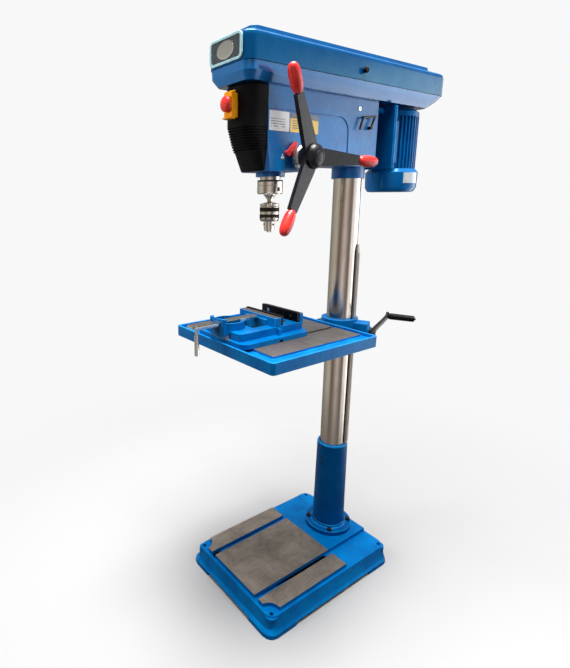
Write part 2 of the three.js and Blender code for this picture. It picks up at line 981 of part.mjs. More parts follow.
const coverRing = (inset, z, rear = COVER.y1) => ({
  points: roundRect(
    -COVER.x + inset,
    COVER.x - inset,
    COVER.y0 + inset,
    rear - inset,
    30 - inset * 0.6,
    4,
  ),
  z,
});
node(
  "belt_pan",
  cut(
    loft([
      coverRing(18, HEAD.top + GAP, 330),
      coverRing(3, 1671, 352),
      coverRing(2, COVER.split - GAP),
    ]),
    loft([coverRing(20, 1654, 328), coverRing(6, 1673, 353), coverRing(5, COVER.split + 2)]),
    post(24, 1640, 1660, 0, SPINDLE_Y, 20),
    post(30, 1640, 1660, 0, MOTOR.y - 4, 20),
  ),
  paint(BLUE, 0.1, 0.4),
);
const panelRing = (inset, z) => ({
  points: roundRect(-76 + inset, 76 - inset, -486 + inset, 310 - inset, 20 - inset * 0.5, 3),
  z,
});
node(
  "belt_lid",
  cut(
    join(
      loft([
        coverRing(0, COVER.split),
        coverRing(0, COVER.top - 16),
        coverRing(3, COVER.top - 5),
        coverRing(9, COVER.top),
      ]),
      loft([panelRing(0, COVER.top - 2), panelRing(4, COVER.panel)]),
    ),
    loft([
      coverRing(3, COVER.split - 1),
      coverRing(3, COVER.top - 17),
      coverRing(9, COVER.top - 4),
    ]),
    loft([panelRing(4, COVER.top - 8), panelRing(8, COVER.panel - 4)]),
  ),
  paint(BLUE, 0.1, 0.4),
);
node(
  "lid_knob",
  alongX(
    turned(
      [
        [0, COVER.x + GAP],
        [5, COVER.x + GAP],
        [5, COVER.x + 4],
        [9, COVER.x + 5],
        [9, COVER.x + 12],
        [7, COVER.x + 14],
        [0, COVER.x + 14],
      ],
      14,
    ),
  ).translate(0, -66, 1721),
  paint(BLACK, 0.0, 0.4),
);
node(
  "badge",
  loft([
    { points: roundRect(-70, 70, -33, 33, 14), z: 0 },
    { points: roundRect(-69, 69, -32, 32, 13), z: 5 },
  ])
    .rotateX(Math.PI / 2)
    .translate(0, COVER.y0 - GAP, 1730),
  paint(0xa9cfd3, 0.2, 0.3),
);

// ---------------------------------------------------------------- motor
function finned(r, core, count) {
  const pts = [];
  for (let i = 0; i < count; i++)
    for (const [rr, k] of [
      [core, 0],
      [r, 0.1],
      [r, 0.38],
      [core, 0.48],
    ]) {
      const a = ((i + k) * 2 * Math.PI) / count;
      pts.push([rr * Math.cos(a), rr * Math.sin(a)]);
    }
  return pts;
}
const atMotor = (g) => g.translate(0, MOTOR.y, 0);
node(
  "motor_housing",
  atMotor(
    join(
      extruded(finned(MOTOR.r, MOTOR.r - 8, 36), MOTOR.fan + GAP, MOTOR.body),
      turned(
        [
          [0, MOTOR.body - 1],
          [MOTOR.r, MOTOR.body - 1],
          [MOTOR.r - 1, MOTOR.top - 10],
          [MOTOR.r - 16, MOTOR.top],
          [0, MOTOR.top],
        ],
        30,
      ),
      box(-58, 58, -114.7, -60, 1465, 1600),
      post(9.3, MOTOR.top - 5, STEPS_Z + 74, 0, 0, 16),
    ),
  ),
  paint(BLUE, 0.1, 0.45),
);
node(
  "fan_cover",
  atMotor(
    turned(
      [
        [0, MOTOR.bottom + 2],
        [70, MOTOR.bottom],
        [80, MOTOR.bottom + 2],
        [MOTOR.fanR - 2, MOTOR.bottom + 16],
        [MOTOR.fanR, MOTOR.fan - 12],
        [MOTOR.r, MOTOR.fan],
        [MOTOR.r - 4, MOTOR.fan],
        [MOTOR.fanR - 3, MOTOR.fan - 13.5],
        [MOTOR.fanR - 5, MOTOR.bottom + 18],
        [78, MOTOR.bottom + 6],
        [0, MOTOR.bottom + 5],
      ],
      30,
    ),
  ),
  paint(BLUE, 0.1, 0.45),
);
node(
  "motor_fan",
  atMotor(
    join(
      post(20, 1392, 1438, 0, 0, 16),
      ...[0, 1, 2].map((i) => box(-66, 66, -3, 3, 1396, 1430).rotateZ((i * Math.PI) / 3)),
    ),
  ),
  paint(0x202020, 0.0, 0.6),
);
const motorRod = (x) => alongY(post(8.8, -58, MOTOR.y - 123, x, -1630, 12));
node(
  "motor_plate",
  join(block(-91, 91, MOTOR.y - 127, MOTOR.y - 115, 1444, 1641, 4, 1), motorRod(-35), motorRod(35)),
  paint(BLUE, 0.1, 0.45),
);
// Belt tension lever: a staple of round bar whose inner end is the cam shaft.
const leverBar = (a, b) => {
  const dir = new THREE.Vector3(0, b[0] - a[0], b[1] - a[1]);
  const length = dir.length();
  const g = new THREE.CylinderGeometry(3.6, 3.6, length + 4, 10);
  g.applyQuaternion(
    new THREE.Quaternion().setFromUnitVectors(new THREE.Vector3(0, 1, 0), dir.normalize()),
  );
  return g.translate(72, (a[0] + b[0]) / 2, (a[1] + b[1]) / 2);
};
node(
  "tension_lever",
  join(
    alongX(post(5, 50, 76, -1566, 12, 12)),
    leverBar([12, 1566], [28, 1601]),
    leverBar([28, 1601], [-29, 1595]),
    leverBar([-29, 1595], [-43, 1560]),
  ),
  paint(BLACK, 0.4, 0.4),
);

// ---------------------------------------------------------------- the part's frame
const bounds = new THREE.Box3().setFromObject(root);
root.position.set(
  -(bounds.min.x + bounds.max.x) / 2,
  -(bounds.min.y + bounds.max.y) / 2,
  -bounds.min.z,
);
export default root;
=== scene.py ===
import math

import bmesh
import bpy
from mathutils import Matrix, Vector


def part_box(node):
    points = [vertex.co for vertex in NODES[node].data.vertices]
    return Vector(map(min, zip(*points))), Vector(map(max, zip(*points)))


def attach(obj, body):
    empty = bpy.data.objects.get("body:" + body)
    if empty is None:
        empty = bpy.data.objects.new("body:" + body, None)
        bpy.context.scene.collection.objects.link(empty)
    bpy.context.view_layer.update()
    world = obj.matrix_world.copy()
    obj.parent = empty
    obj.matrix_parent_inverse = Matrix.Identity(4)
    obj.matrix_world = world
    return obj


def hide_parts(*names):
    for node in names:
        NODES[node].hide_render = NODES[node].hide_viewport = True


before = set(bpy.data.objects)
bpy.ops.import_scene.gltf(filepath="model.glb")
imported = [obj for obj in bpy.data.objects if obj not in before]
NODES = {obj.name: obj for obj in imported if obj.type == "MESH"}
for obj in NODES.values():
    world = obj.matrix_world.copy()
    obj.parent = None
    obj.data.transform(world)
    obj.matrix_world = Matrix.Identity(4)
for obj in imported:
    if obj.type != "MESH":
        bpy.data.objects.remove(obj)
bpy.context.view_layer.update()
MM = 0.001

column_low, column_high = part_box("column")
AXIS = Vector(((column_low.x + column_high.x) / 2, (column_low.y + column_high.y) / 2, 0))


def in_frame(point):
    """A point of this script's millimetres in the row frame's metres."""
    return AXIS + Vector(point) * MM


def span(node):
    """Lowest and highest corner of a CAD node, in this script's millimetres."""
    low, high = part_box(node)
    return (low - AXIS) / MM, (high - AXIS) / MM


def middle(node):
    low, high = span(node)
    return (low + high) / 2


# ---------------- camera and light
CAMERA = {"place": (1.0985, -1.2177, 1.3537), "turn": 55.47, "down": 13.32, "roll": -0.46}
LENS = {"lens": 25.555, "sensor_width": 36.0, "shift_x": 0.117, "shift_y": -0.0366}


def make_camera():
    turn, down, roll = (math.radians(CAMERA[k]) for k in ("turn", "down", "roll"))
    ahead = Vector(
        (-math.sin(turn) * math.cos(down), math.cos(turn) * math.cos(down), -math.sin(down))
    )
    level = Vector((math.cos(turn), math.sin(turn), 0))
    upright = level.cross(ahead)
    right = level * math.cos(roll) + upright * math.sin(roll)
    up = upright * math.cos(roll) - level * math.sin(roll)
    data = bpy.data.cameras.new("camera")
    for name, value in LENS.items():
        setattr(data, name, value)
    data.clip_start, data.clip_end = 0.05, 60
    camera = bpy.data.objects.new("camera", data)
    camera.matrix_world = Matrix.Translation(CAMERA["place"]) @ Matrix(
        (right, up, -ahead)
    ).transposed().to_4x4()
    bpy.context.scene.collection.objects.link(camera)
    bpy.context.scene.camera = camera


def make_light(name, place, aim, side, power, color):
    """A square softbox. Only the overhead one shows in mirrored light, and none to the camera."""
    data = bpy.data.lights.new(name, "AREA")
    data.shape, data.size, data.size_y = "RECTANGLE", side, side
    data.energy, data.color = power, color
    light = bpy.data.objects.new(name, data)
    light.visible_glossy = name == "overhead"
    light.visible_camera = False
    direction = Vector(aim) - Vector(place)
    light.matrix_world = (
        Matrix.Translation(place) @ direction.to_track_quat("-Z", "Y").to_matrix().to_4x4()
    )
    bpy.context.scene.collection.objects.link(light)


# Each softbox: its place and aim in metres, its side in metres, its watts and its colour.
LIGHTS = {
    "overhead": ((0.1, -0.1, 4.3), (0, 0, 0.9), 2.0, 450, (1, 0.99, 0.98)),
    "front": ((-1.2, -3.4, 2.2), (0, 0, 1.2), 1.8, 9, (1, 0.98, 0.96)),
    "side": ((3.4, -0.6, 2.4), (0, 0, 1.0), 2.4, 3.5, (0.97, 0.99, 1.0)),
    "head_front": ((-0.7, -1.7, 1.8), (0, -0.4, 1.6), 0.6, 14, (1, 0.98, 0.96)),
    "head_side": ((1.7, 0.2, 1.9), (0.06, -0.3, 1.6), 0.6, 9, (0.97, 0.99, 1.0)),
}
PALE = (0.94, 0.94, 0.945, 1)
GLARE = 4.0  # brightness of the whitest wall panel that metal and gloss can mirror
FILL = 0.15  # the share of it that lights the object from all round
FLOOR_SEEN = (0.425, 0.426, 0.43, 1)  # the floor's colour to the camera
FLOOR_BOUNCE = (0.09, 0.085, 0.08, 1)  # the same to light that goes on to the object
FLOOR_FADE = (0.45, 1.9)  # metres from the middle over which the floor fades out

# Brightness of the studio walls as shares of GLARE, by the compass angle from +X in degrees.
WALLS = [
    (-180, (0.085, 0.085, 0.075)),
    (-125, (0.165, 0.165, 0.148)),
    (-108, (0.150, 0.143, 0.130)),
    (-96, (0.050, 0.040, 0.034)),
    (-76, (0.063, 0.051, 0.045)),
    (-60, (0.150, 0.137, 0.126)),
    (-46, (0.215, 0.203, 0.193)),
    (-30, (0.130, 0.118, 0.110)),
    (-12, (0.058, 0.050, 0.050)),
    (5, (0.050, 0.048, 0.053)),
    (12, (0.36, 0.36, 0.37)),
    (36, (0.30, 0.31, 0.33)),
    (52, (0.85, 0.87, 0.90)),
    (84, (0.95, 0.95, 0.96)),
    (90, (0.060, 0.060, 0.065)),
    (135, (0.055, 0.052, 0.050)),
    (180, (0.085, 0.085, 0.075)),
]
# The same by height: the sine of the angle above the horizon.
HEIGHTS = [
    (-1.0, (0.03, 0.028, 0.027)),
    (-0.05, (0.035, 0.032, 0.03)),
    (0.25, (0.07, 0.066, 0.062)),
    (0.6, (0.10, 0.098, 0.096)),
    (0.85, (0.24, 0.24, 0.245)),
    (1.0, (0.26, 0.262, 0.27)),
]


def make_world():
    """A pale studio: bright overhead, with soft panels and dark flags that metal can mirror."""
    world = bpy.data.worlds.new("studio")
    world.use_nodes = True
    nodes, links = world.node_tree.nodes, world.node_tree.links

    def step(value, start, end, kind="SMOOTHSTEP"):
        node = nodes.new("ShaderNodeMapRange")
        node.interpolation_type = kind
        node.inputs["From Min"].default_value = start
        node.inputs["From Max"].default_value = end
        links.new(value, node.inputs["Value"])
        return node.outputs[0]

    def ramp(value, low, high, stops):
        node = nodes.new("ShaderNodeValToRGB")
        elements = node.color_ramp.elements
        while len(elements) < len(stops):
            elements.new(0.5)
        for element, (place, color) in zip(elements, stops):
            element.position = (place - low) / (high - low)
            element.color = (*color, 1)
        links.new(step(value, low, high, "LINEAR"), node.inputs[0])
        return node.outputs[0]

    def math_node(operation, a, b):
        node = nodes.new("ShaderNodeMath")
        node.operation = operation
        for socket, value in zip(node.inputs, (a, b)):
            if isinstance(value, float):
                socket.default_value = value
            else:
                links.new(value, socket)
        return node.outputs[0]

    split = nodes.new("ShaderNodeSeparateXYZ")
    links.new(nodes.new("ShaderNodeTexCoord").outputs["Generated"], split.inputs[0])
    compass = math_node("ARCTAN2", split.outputs["Y"], split.outputs["X"])
    walls = ramp(math_node("MULTIPLY", compass, 180 / math.pi), -180, 180, WALLS)
    heights = ramp(split.outputs["Z"], -1, 1, HEIGHTS)
    above = step(split.outputs["Z"], 0.32, 0.2)
    below = step(split.outputs["Z"], -0.75, -0.5)
    mirror = nodes.new("ShaderNodeMix")
    mirror.data_type = "RGBA"
    links.new(math_node("MULTIPLY", above, below), mirror.inputs[0])
    links.new(heights, mirror.inputs[6])
    links.new(walls, mirror.inputs[7])

    ray = nodes.new("ShaderNodeLightPath")
    glossy = nodes.new("ShaderNodeBackground")
    links.new(mirror.outputs[2], glossy.inputs["Color"])
    glossy.inputs["Strength"].default_value = GLARE
    lit = nodes["Background"]
    links.new(heights, lit.inputs["Color"])
    lit.inputs["Strength"].default_value = GLARE * FILL
    seen = nodes.new("ShaderNodeBackground")
    seen.inputs["Color"].default_value = PALE
    shader = lit.outputs[0]
    for share, other in (("Is Glossy Ray", glossy), ("Is Camera Ray", seen)):
        choose = nodes.new("ShaderNodeMixShader")
        links.new(ray.outputs[share], choose.inputs[0])
        links.new(shader, choose.inputs[1])
        links.new(other.outputs[0], choose.inputs[2])
        shader = choose.outputs[0]
    links.new(shader, nodes["World Output"].inputs["Surface"])
    bpy.context.scene.world = world


def make_floor():
    """A pale round floor that fades out at its rim, so that it has no horizon."""
    mesh = bpy.data.meshes.new("studio_floor")
    shape = bmesh.new()
    bmesh.ops.create_circle(shape, cap_ends=True, segments=96, radius=6.0)
    shape.to_mesh(mesh)
    shape.free()
    floor = bpy.data.objects.new("studio_floor", mesh)
    bpy.context.scene.collection.objects.link(floor)
    material = bpy.data.materials.new("studio_floor")
    material.use_nodes = True
    nodes, links = material.node_tree.nodes, material.node_tree.links
    shader = nodes["Principled BSDF"]
    shader.inputs["Roughness"].default_value = 0.9
    shader.inputs["Specular IOR Level"].default_value = 0.1
    ray = nodes.new("ShaderNodeLightPath")
    tone = nodes.new("ShaderNodeMix")
    tone.data_type = "RGBA"
    links.new(ray.outputs["Is Camera Ray"], tone.inputs[0])
    tone.inputs[6].default_value = FLOOR_BOUNCE
    tone.inputs[7].default_value = FLOOR_SEEN
    links.new(tone.outputs[2], shader.inputs["Base Color"])
    place = nodes.new("ShaderNodeTexCoord").outputs["Object"]
    length = nodes.new("ShaderNodeVectorMath")
    length.operation = "LENGTH"
    links.new(place, length.inputs[0])
    fade = nodes.new("ShaderNodeMapRange")
    fade.interpolation_type = "SMOOTHSTEP"
    for name, value in zip(("From Min", "From Max", "To Min", "To Max"), (*FLOOR_FADE, 1, 0)):
        fade.inputs[name].default_value = value
    links.new(length.outputs["Value"], fade.inputs["Value"])
    links.new(fade.outputs[0], shader.inputs["Alpha"])
    mesh.materials.append(material)


def make_studio():
    make_world()
    make_floor()
    for name, settings in LIGHTS.items():
        make_light(name, *settings)
    bpy.context.scene.view_settings.view_transform = "Standard"


# ---------------- node materials
def srgb(code):
    """A linear colour from six hexadecimal digits of sRGB."""
    parts = [int(code[i : i + 2], 16) / 255 for i in (0, 2, 4)]
    linear = [c / 12.92 if c <= 0.04045 else ((c + 0.055) / 1.055) ** 2.4 for c in parts]
    return (*linear, 1)


class Finish:
    """Writes one node material round its Principled shader."""

    def __init__(self, name, **constants):
        self.material = bpy.data.materials.new(name)
        self.material.use_nodes = True
        self.nodes = self.material.node_tree.nodes
        self.links = self.material.node_tree.links
        self.shader = self.nodes["Principled BSDF"]
        self.place = self.nodes.new("ShaderNodeTexCoord").outputs["Object"]
        self.set(**constants)

    def set(self, **values):
        """Socket names are written with _ for a space, in lower case."""
        for name, value in values.items():
            socket = next(s for s in self.shader.inputs if s.name.lower().replace(" ", "_") == name)
            self.feed(socket, value)
        return self

    def feed(self, socket, value):
        if isinstance(value, bpy.types.NodeSocket):
            self.links.new(value, socket)
        else:
            socket.default_value = value

    def add(self, kind, inputs, **settings):
        node = self.nodes.new("ShaderNode" + kind)
        for name, value in settings.items():
            setattr(node, name, value)
        for name, value in inputs.items():
            self.feed(node.inputs[name], value)
        return node

    def math(self, operation, a, b=0.0):
        return self.add("Math", {0: a, 1: b}, operation=operation).outputs[0]

    def axis(self, index):
        return self.add("SeparateXYZ", {0: self.place}).outputs[index]

    def stretched(self, factors):
        return self.add("VectorMath", {0: self.place, 1: factors}, operation="MULTIPLY").outputs[0]

    def noise(self, size, detail=4.0, roughness=0.5, factors=(1, 1, 1), warp=0.0):
        """Noise from 0 to 1 whose features are about size millimetres across."""
        where = self.place if factors == (1, 1, 1) else self.stretched(factors)
        inputs = {"Vector": where, "Scale": 1 / (size * MM), "Detail": detail}
        inputs |= {"Roughness": roughness, "Distortion": warp}
        return self.add("TexNoise", inputs).outputs[0]

    def remap(self, value, low, high, to_low=0.0, to_high=1.0):
        ends = {"From Min": low, "From Max": high, "To Min": to_low, "To Max": to_high}
        return self.add("MapRange", {"Value": value, **ends}, clamp=True).outputs[0]

    def mix(self, share, a, b):
        node = self.add("Mix", {}, data_type="RGBA")
        for socket, value in ((node.inputs[0], share), (node.inputs[6], a), (node.inputs[7], b)):
            self.feed(socket, value)
        return node.outputs[2]

    def bump(self, height, depth, under=None):
        """Relief depth millimetres deep, on top of the relief under."""
        inputs = {"Height": height, "Distance": depth * MM}
        if under is not None:
            inputs["Normal"] = under
        return self.add("Bump", inputs).outputs[0]

    def within(self, low, high):
        """1 inside a box given in this script's millimetres, 0 outside; None leaves a side open."""
        share = 1.0
        for index, (a, b) in enumerate(zip(low, high)):
            value = self.axis(index)
            if a is not None:
                limit = AXIS[index] + a * MM
                share = self.math("MULTIPLY", share, self.math("GREATER_THAN", value, limit))
            if b is not None:
                limit = AXIS[index] + b * MM
                share = self.math("MULTIPLY", share, self.math("LESS_THAN", value, limit))
        return share


BLUE = srgb("0078c0")
DEEP_BLUE = srgb("0062a8")
WORN_BLUE = srgb("1490d4")
BLUE_GLOSS = (0.02, 0.42, 1.0, 1)  # tint of the enamel's reflections


def bare_share(f, bare):
    """1 inside any of the boxes, each a pair of corners."""
    share = f.within(*bare[0])
    for low, high in bare[1:]:
        share = f.math("MAXIMUM", share, f.within(low, high))
    return share


def ground_iron(f):
    """Colour, roughness and relief of a ground cast-iron face: cutter lines, oil and stains."""
    cloud = f.remap(f.noise(90, 4, 0.6, warp=0.6), 0.3, 0.72)
    color = f.mix(cloud, srgb("645a51"), srgb("a3978a"))
    stain = f.remap(f.noise(14, 5, 0.7), 0.55, 0.75)
    color = f.mix(f.math("MULTIPLY", stain, 0.5), color, srgb("46392f"))
    lines = f.noise(1.4, 2, 0.6, factors=(1, 0.04, 1))
    color = f.mix(f.remap(lines, 0.3, 0.7, 0, 0.35), color, srgb("c4bbae"))
    return color, f.remap(cloud, 0, 1, 0.5, 0.34), f.bump(lines, 0.03)


def blue_cast(name, grain=1.0, bare=(), coat=0.0, deep=0.0, haze=0.16):
    """Enamel over cast iron, with bare machined faces inside the boxes given."""
    f = Finish(
        name, specular_ior_level=0.3, specular_tint=BLUE_GLOSS, coat_weight=coat, coat_roughness=haze
    )
    shade = f.remap(f.noise(70, 3), 0.35, 0.7)
    color = f.mix(shade, DEEP_BLUE, BLUE)
    # deep darkens the enamel towards a deep blue; on the sleeve this is painted shade.
    if deep:
        color = f.mix(deep, color, srgb("003a78"))
    speck = f.remap(f.noise(2.2, 2), 0.66, 0.72)
    color = f.mix(f.math("MULTIPLY", speck, 0.22), color, WORN_BLUE)
    rough = f.remap(f.noise(12, 4), 0.3, 0.7, 0.28, 0.45)
    relief = f.bump(f.noise(16, 4, 0.55), 0.9 * grain)
    relief = f.bump(f.noise(3.2, 3, 0.6), 0.22 * grain, relief)
    if bare:
        share = bare_share(f, bare)
        ground, rough_bare, flat = ground_iron(f)
        color = f.mix(share, color, ground)
        painted = f.math("MULTIPLY", f.math("SUBTRACT", 1.0, share), rough)
        rough = f.math("ADD", f.math("MULTIPLY", share, rough_bare), painted)
        relief_mix = f.add("Mix", {}, data_type="VECTOR")
        for index, value in ((0, share), (4, relief), (5, flat)):
            f.feed(relief_mix.inputs[index], value)
        relief = relief_mix.outputs[1]
        f.set(metallic=f.math("MULTIPLY", share, 0.85))
    return f.set(base_color=color, roughness=rough, normal=relief).material


def blue_sheet(name, coat=0.5, gloss=BLUE_GLOSS, shades=("0069b2", "007cc8")):
    """Glossy enamel on pressed sheet steel."""
    f = Finish(
        name, specular_ior_level=0.5, specular_tint=gloss, coat_weight=coat, coat_roughness=0.08
    )
    shade = f.remap(f.noise(220, 2), 0.35, 0.7)
    color = f.mix(shade, srgb(shades[0]), srgb(shades[1]))
    dust = f.remap(f.noise(1.6, 2), 0.68, 0.74)
    color = f.mix(f.math("MULTIPLY", dust, 0.2), color, srgb("6fb8e4"))
    relief = f.bump(f.noise(160, 2), 3.0)
    relief = f.bump(f.noise(2.4, 2, 0.5), 0.06, relief)
    rough = f.remap(f.noise(40, 4), 0.3, 0.7, 0.2, 0.32)
    return f.set(base_color=color, roughness=rough, normal=relief).material


def edge_highlight(name, bare=()):
    """Painted highlight on the thin bevels along an edge: lighter enamel and lighter chips, partly
    wear and partly the light a rounded edge catches; bright bare iron round machined faces.
    """
    f = Finish(name, specular_ior_level=0.4, specular_tint=BLUE_GLOSS)
    chip = f.remap(f.noise(9, 5, 0.7), 0.6, 0.66)
    color = f.mix(f.remap(f.noise(30, 3), 0.3, 0.7), srgb("0a76c0"), srgb("2f9ade"))
    color = f.mix(f.math("MULTIPLY", chip, 0.4), color, srgb("7fbce0"))
    if bare:
        share = bare_share(f, bare)
        color = f.mix(share, color, ground_iron(f)[0])
        f.set(metallic=f.math("MULTIPLY", share, 0.85))
    relief = f.bump(f.noise(4, 3), 0.15)
    return f.set(base_color=color, roughness=0.3, normal=relief).material


def steel(name, tone, rough, around=None, stain=0.35, bright=True):
    """Bare turned or ground steel; around is the axis that the cutter's lines run round."""
    f = Finish(name, metallic=1.0)
    factors = {None: (1, 1, 1), "x": (1, 0.03, 0.03), "y": (0.03, 1, 0.03), "z": (0.03, 0.03, 1)}
    lines = f.noise(0.9, 3, 0.6, factors=factors[around])
    cloud = f.remap(f.noise(45, 5, 0.6), 0.35, 0.75)
    color = f.mix(f.math("MULTIPLY", cloud, stain), srgb(tone), srgb("6f6257"))
    color = f.mix(f.remap(lines, 0.35, 0.7, 0, 0.25), color, srgb("e8e4de" if bright else "5a5552"))
    level = f.math("ADD", f.remap(cloud, 0, 1, rough, rough * 1.5), f.remap(lines, 0, 1, -0.04, 0.04))
    return f.set(base_color=color, roughness=level, normal=f.bump(lines, 0.02)).material


def column_steel():
    """Ground tube with a thin film of oil, a few rub marks and faint brown stains."""
    f = Finish("column_steel", metallic=1.0, coat_weight=0.25, coat_roughness=0.2)
    lines = f.noise(0.7, 3, 0.6, factors=(0.05, 0.05, 1))
    cloud = f.remap(f.noise(60, 5, 0.6, factors=(1, 1, 0.35)), 0.35, 0.75)
    color = f.mix(f.math("MULTIPLY", cloud, 0.4), srgb("cfc5ba"), srgb("9a8473"))
    rub = f.remap(f.noise(8, 4, 0.65, factors=(1, 1, 0.08)), 0.58, 0.66)
    color = f.mix(f.math("MULTIPLY", rub, 0.35), color, srgb("e6e1da"))
    rough = f.remap(cloud, 0, 1, 0.18, 0.28)
    return f.set(base_color=color, roughness=rough, normal=f.bump(lines, 0.01)).material


def black_enamel(name, rough=0.32):
    f = Finish(name, specular_ior_level=0.25, coat_weight=0.12, coat_roughness=0.15)
    color = f.mix(f.remap(f.noise(25, 4), 0.3, 0.7), srgb("0c0b0e"), srgb("1c1a1f"))
    rub = f.remap(f.noise(3, 5, 0.7), 0.64, 0.7)
    color = f.mix(f.math("MULTIPLY", rub, 0.35), color, srgb("4a4a52"))
    relief = f.bump(f.noise(5, 4), 0.3)
    level = f.remap(f.noise(9, 3), 0.3, 0.7, rough * 0.8, rough * 1.3)
    return f.set(base_color=color, roughness=level, normal=relief).material


def moulded(name, light, dark, rough=0.35, grain=0.08, gloss=0.5):
    """Moulded plastic: a fine spark-eroded grain and a little unevenness in its colour."""
    f = Finish(name, specular_ior_level=gloss, coat_weight=0.2 * gloss, coat_roughness=0.2)
    color = f.mix(f.remap(f.noise(18, 3), 0.3, 0.7), srgb(dark), srgb(light))
    relief = f.bump(f.noise(0.8, 2), grain)
    relief = f.bump(f.noise(35, 2), 0.4, relief)
    level = f.remap(f.noise(6, 3), 0.3, 0.7, rough * 0.85, rough * 1.2)
    return f.set(base_color=color, roughness=level, normal=relief).material


def belt_rubber():
    f = Finish("belt_rubber")
    cord = f.noise(1.2, 2, 0.5, factors=(0.1, 0.1, 1))
    color = f.mix(f.remap(f.noise(10, 4), 0.3, 0.7), srgb("161616"), srgb("2e2c2a"))
    return f.set(base_color=color, roughness=0.75, normal=f.bump(cord, 0.25)).material


def aluminium():
    """Die-cast aluminium with turned grooves."""
    f = Finish("cast_aluminium", metallic=1.0)
    color = f.mix(f.remap(f.noise(9, 5, 0.6), 0.3, 0.7), srgb("8f9194"), srgb("c4c6c8"))
    lines = f.noise(0.9, 2, 0.5, factors=(0.05, 0.05, 1))
    level = f.remap(f.noise(7, 4), 0.3, 0.7, 0.32, 0.5)
    return f.set(base_color=color, roughness=level, normal=f.bump(lines, 0.04)).material


def dial_face(center):
    """Satin ring with fine engraved divisions, every fifth one wider, round the feed shaft."""
    f = Finish("dial_face", metallic=0.9)
    y = f.math("SUBTRACT", f.axis(1), AXIS.y + center.y * MM)
    z = f.math("SUBTRACT", f.axis(2), AXIS.z + center.z * MM)
    angle = f.math("ARCTAN2", z, y)
    turns = f.math("ADD", f.math("DIVIDE", angle, 2 * math.pi), 1.0)

    def marks(count, width):
        phase = f.math("FRACT", f.math("MULTIPLY", turns, float(count)))
        return f.math("LESS_THAN", phase, width)

    x = f.axis(0)
    rim = f.math("GREATER_THAN", x, AXIS.x + (center.x - 3) * MM)
    fine = f.math("MULTIPLY", marks(100, 0.22), rim)
    ink = f.math("MAXIMUM", fine, marks(20, 0.06))
    satin = f.mix(f.noise(0.8, 2, factors=(1, 0.05, 0.05)), srgb("b9b9b6"), srgb("dededb"))
    color = f.mix(ink, satin, srgb("1b1b1d"))
    return f.set(base_color=color, roughness=f.remap(ink, 0, 1, 0.28, 0.6)).material


def printed_label(name, field, ink, low, high, bands, header=None):
    """A sticker on the head's flank with a generic pattern of bars, never letters."""
    f = Finish(name, specular_ior_level=0.4, coat_weight=1.0, coat_roughness=0.12)
    y = f.remap(f.axis(1), AXIS.y + low[0] * MM, AXIS.y + high[0] * MM)
    z = f.remap(f.axis(2), low[1] * MM, high[1] * MM)
    row = f.math("FRACT", f.math("MULTIPLY", z, float(bands)))
    bar = f.math("GREATER_THAN", row, 0.6)
    ragged = f.noise(26, 2, 0.5, factors=(1, 1, 0.6))
    words = f.math("GREATER_THAN", ragged, 0.4)
    margin = f.math("MULTIPLY", f.math("GREATER_THAN", y, 0.08), f.math("LESS_THAN", y, 0.8))
    inside = f.math("MULTIPLY", f.math("GREATER_THAN", z, 0.12), f.math("LESS_THAN", z, 0.68))
    share = f.math("MULTIPLY", f.math("MULTIPLY", bar, words), f.math("MULTIPLY", margin, inside))
    paper = f.mix(f.remap(f.noise(20, 3), 0.3, 0.7, 0, 0.5), srgb(field), srgb("ffffff"))
    color = f.mix(share, paper if header is None else srgb(field), srgb(ink))
    if header is not None:
        color = f.mix(f.math("GREATER_THAN", z, 0.72), color, srgb(header))
    relief = f.bump(f.noise(12, 2), 0.25)
    return f.set(base_color=color, roughness=0.3, normal=relief).material


# ---------------- shapes
# A shape is (points, faces), in millimetres.
def arc(center, radius, start, end, steps):
    """Points along a circle from start to end, in degrees."""
    turn = [math.radians(start + (end - start) * i / steps) for i in range(steps + 1)]
    return [(center[0] + radius * math.cos(a), center[1] + radius * math.sin(a)) for a in turn]


def round_rect(x0, x1, y0, y1, r, steps=6):
    return (
        arc((x1 - r, y0 + r), r, -90, 0, steps)
        + arc((x1 - r, y1 - r), r, 0, 90, steps)
        + arc((x0 + r, y1 - r), r, 90, 180, steps)
        + arc((x0 + r, y0 + r), r, 180, 270, steps)
    )


def oval(a, b, steps=48):
    turn = [2 * math.pi * i / steps for i in range(steps)]
    return [(a * math.cos(t), b * math.sin(t)) for t in turn]


def teeth(inner, outer, count, flat=0.3):
    """A gear-like outline: count teeth between two radii, flat is the share of tip and root."""
    points = []
    for i in range(count):
        for share, r in ((0, inner), (0.5 - flat, outer), (0.5, outer), (1 - flat, inner)):
            a = 2 * math.pi * (i + share) / count
            points.append((r * math.cos(a), r * math.sin(a)))
    return points


def lathe(profile, sides=64):
    """A body of revolution about Z from (radius, height) pairs: it starts and ends on the axis,
    or closes on itself."""
    points, rings = [], []
    for r, h in profile:
        count = 1 if r < 1e-6 else sides
        rings.append(range(len(points), len(points) + count))
        turn = [2 * math.pi * i / count for i in range(count)]
        points += [(r * math.cos(a), r * math.sin(a), h) for a in turn]
    pairs = list(zip(rings, rings[1:]))
    if profile[0][0] > 1e-6:
        pairs.append((rings[-1], rings[0]))
    faces = []
    for a, b in pairs:
        for i in range(sides):
            j = (i + 1) % sides
            corners = [a[i % len(a)], a[j % len(a)], b[j % len(b)], b[i % len(b)]]
            face = list(dict.fromkeys(corners))
            if len(face) > 2:
                faces.append(face)
    return points, faces


def loft(rings):
    """A solid skinned over (outline, height) pairs with equally many points each."""
    count = len(rings[0][0])
    points = [(x, y, z) for outline, z in rings for x, y in outline]
    faces = [list(range(count)), list(range(len(points) - count, len(points)))]
    for k in range(len(rings) - 1):
        for i in range(count):
            j = (i + 1) % count
            faces.append([k * count + i, k * count + j, (k + 1) * count + j, (k + 1) * count + i])
    return points, faces


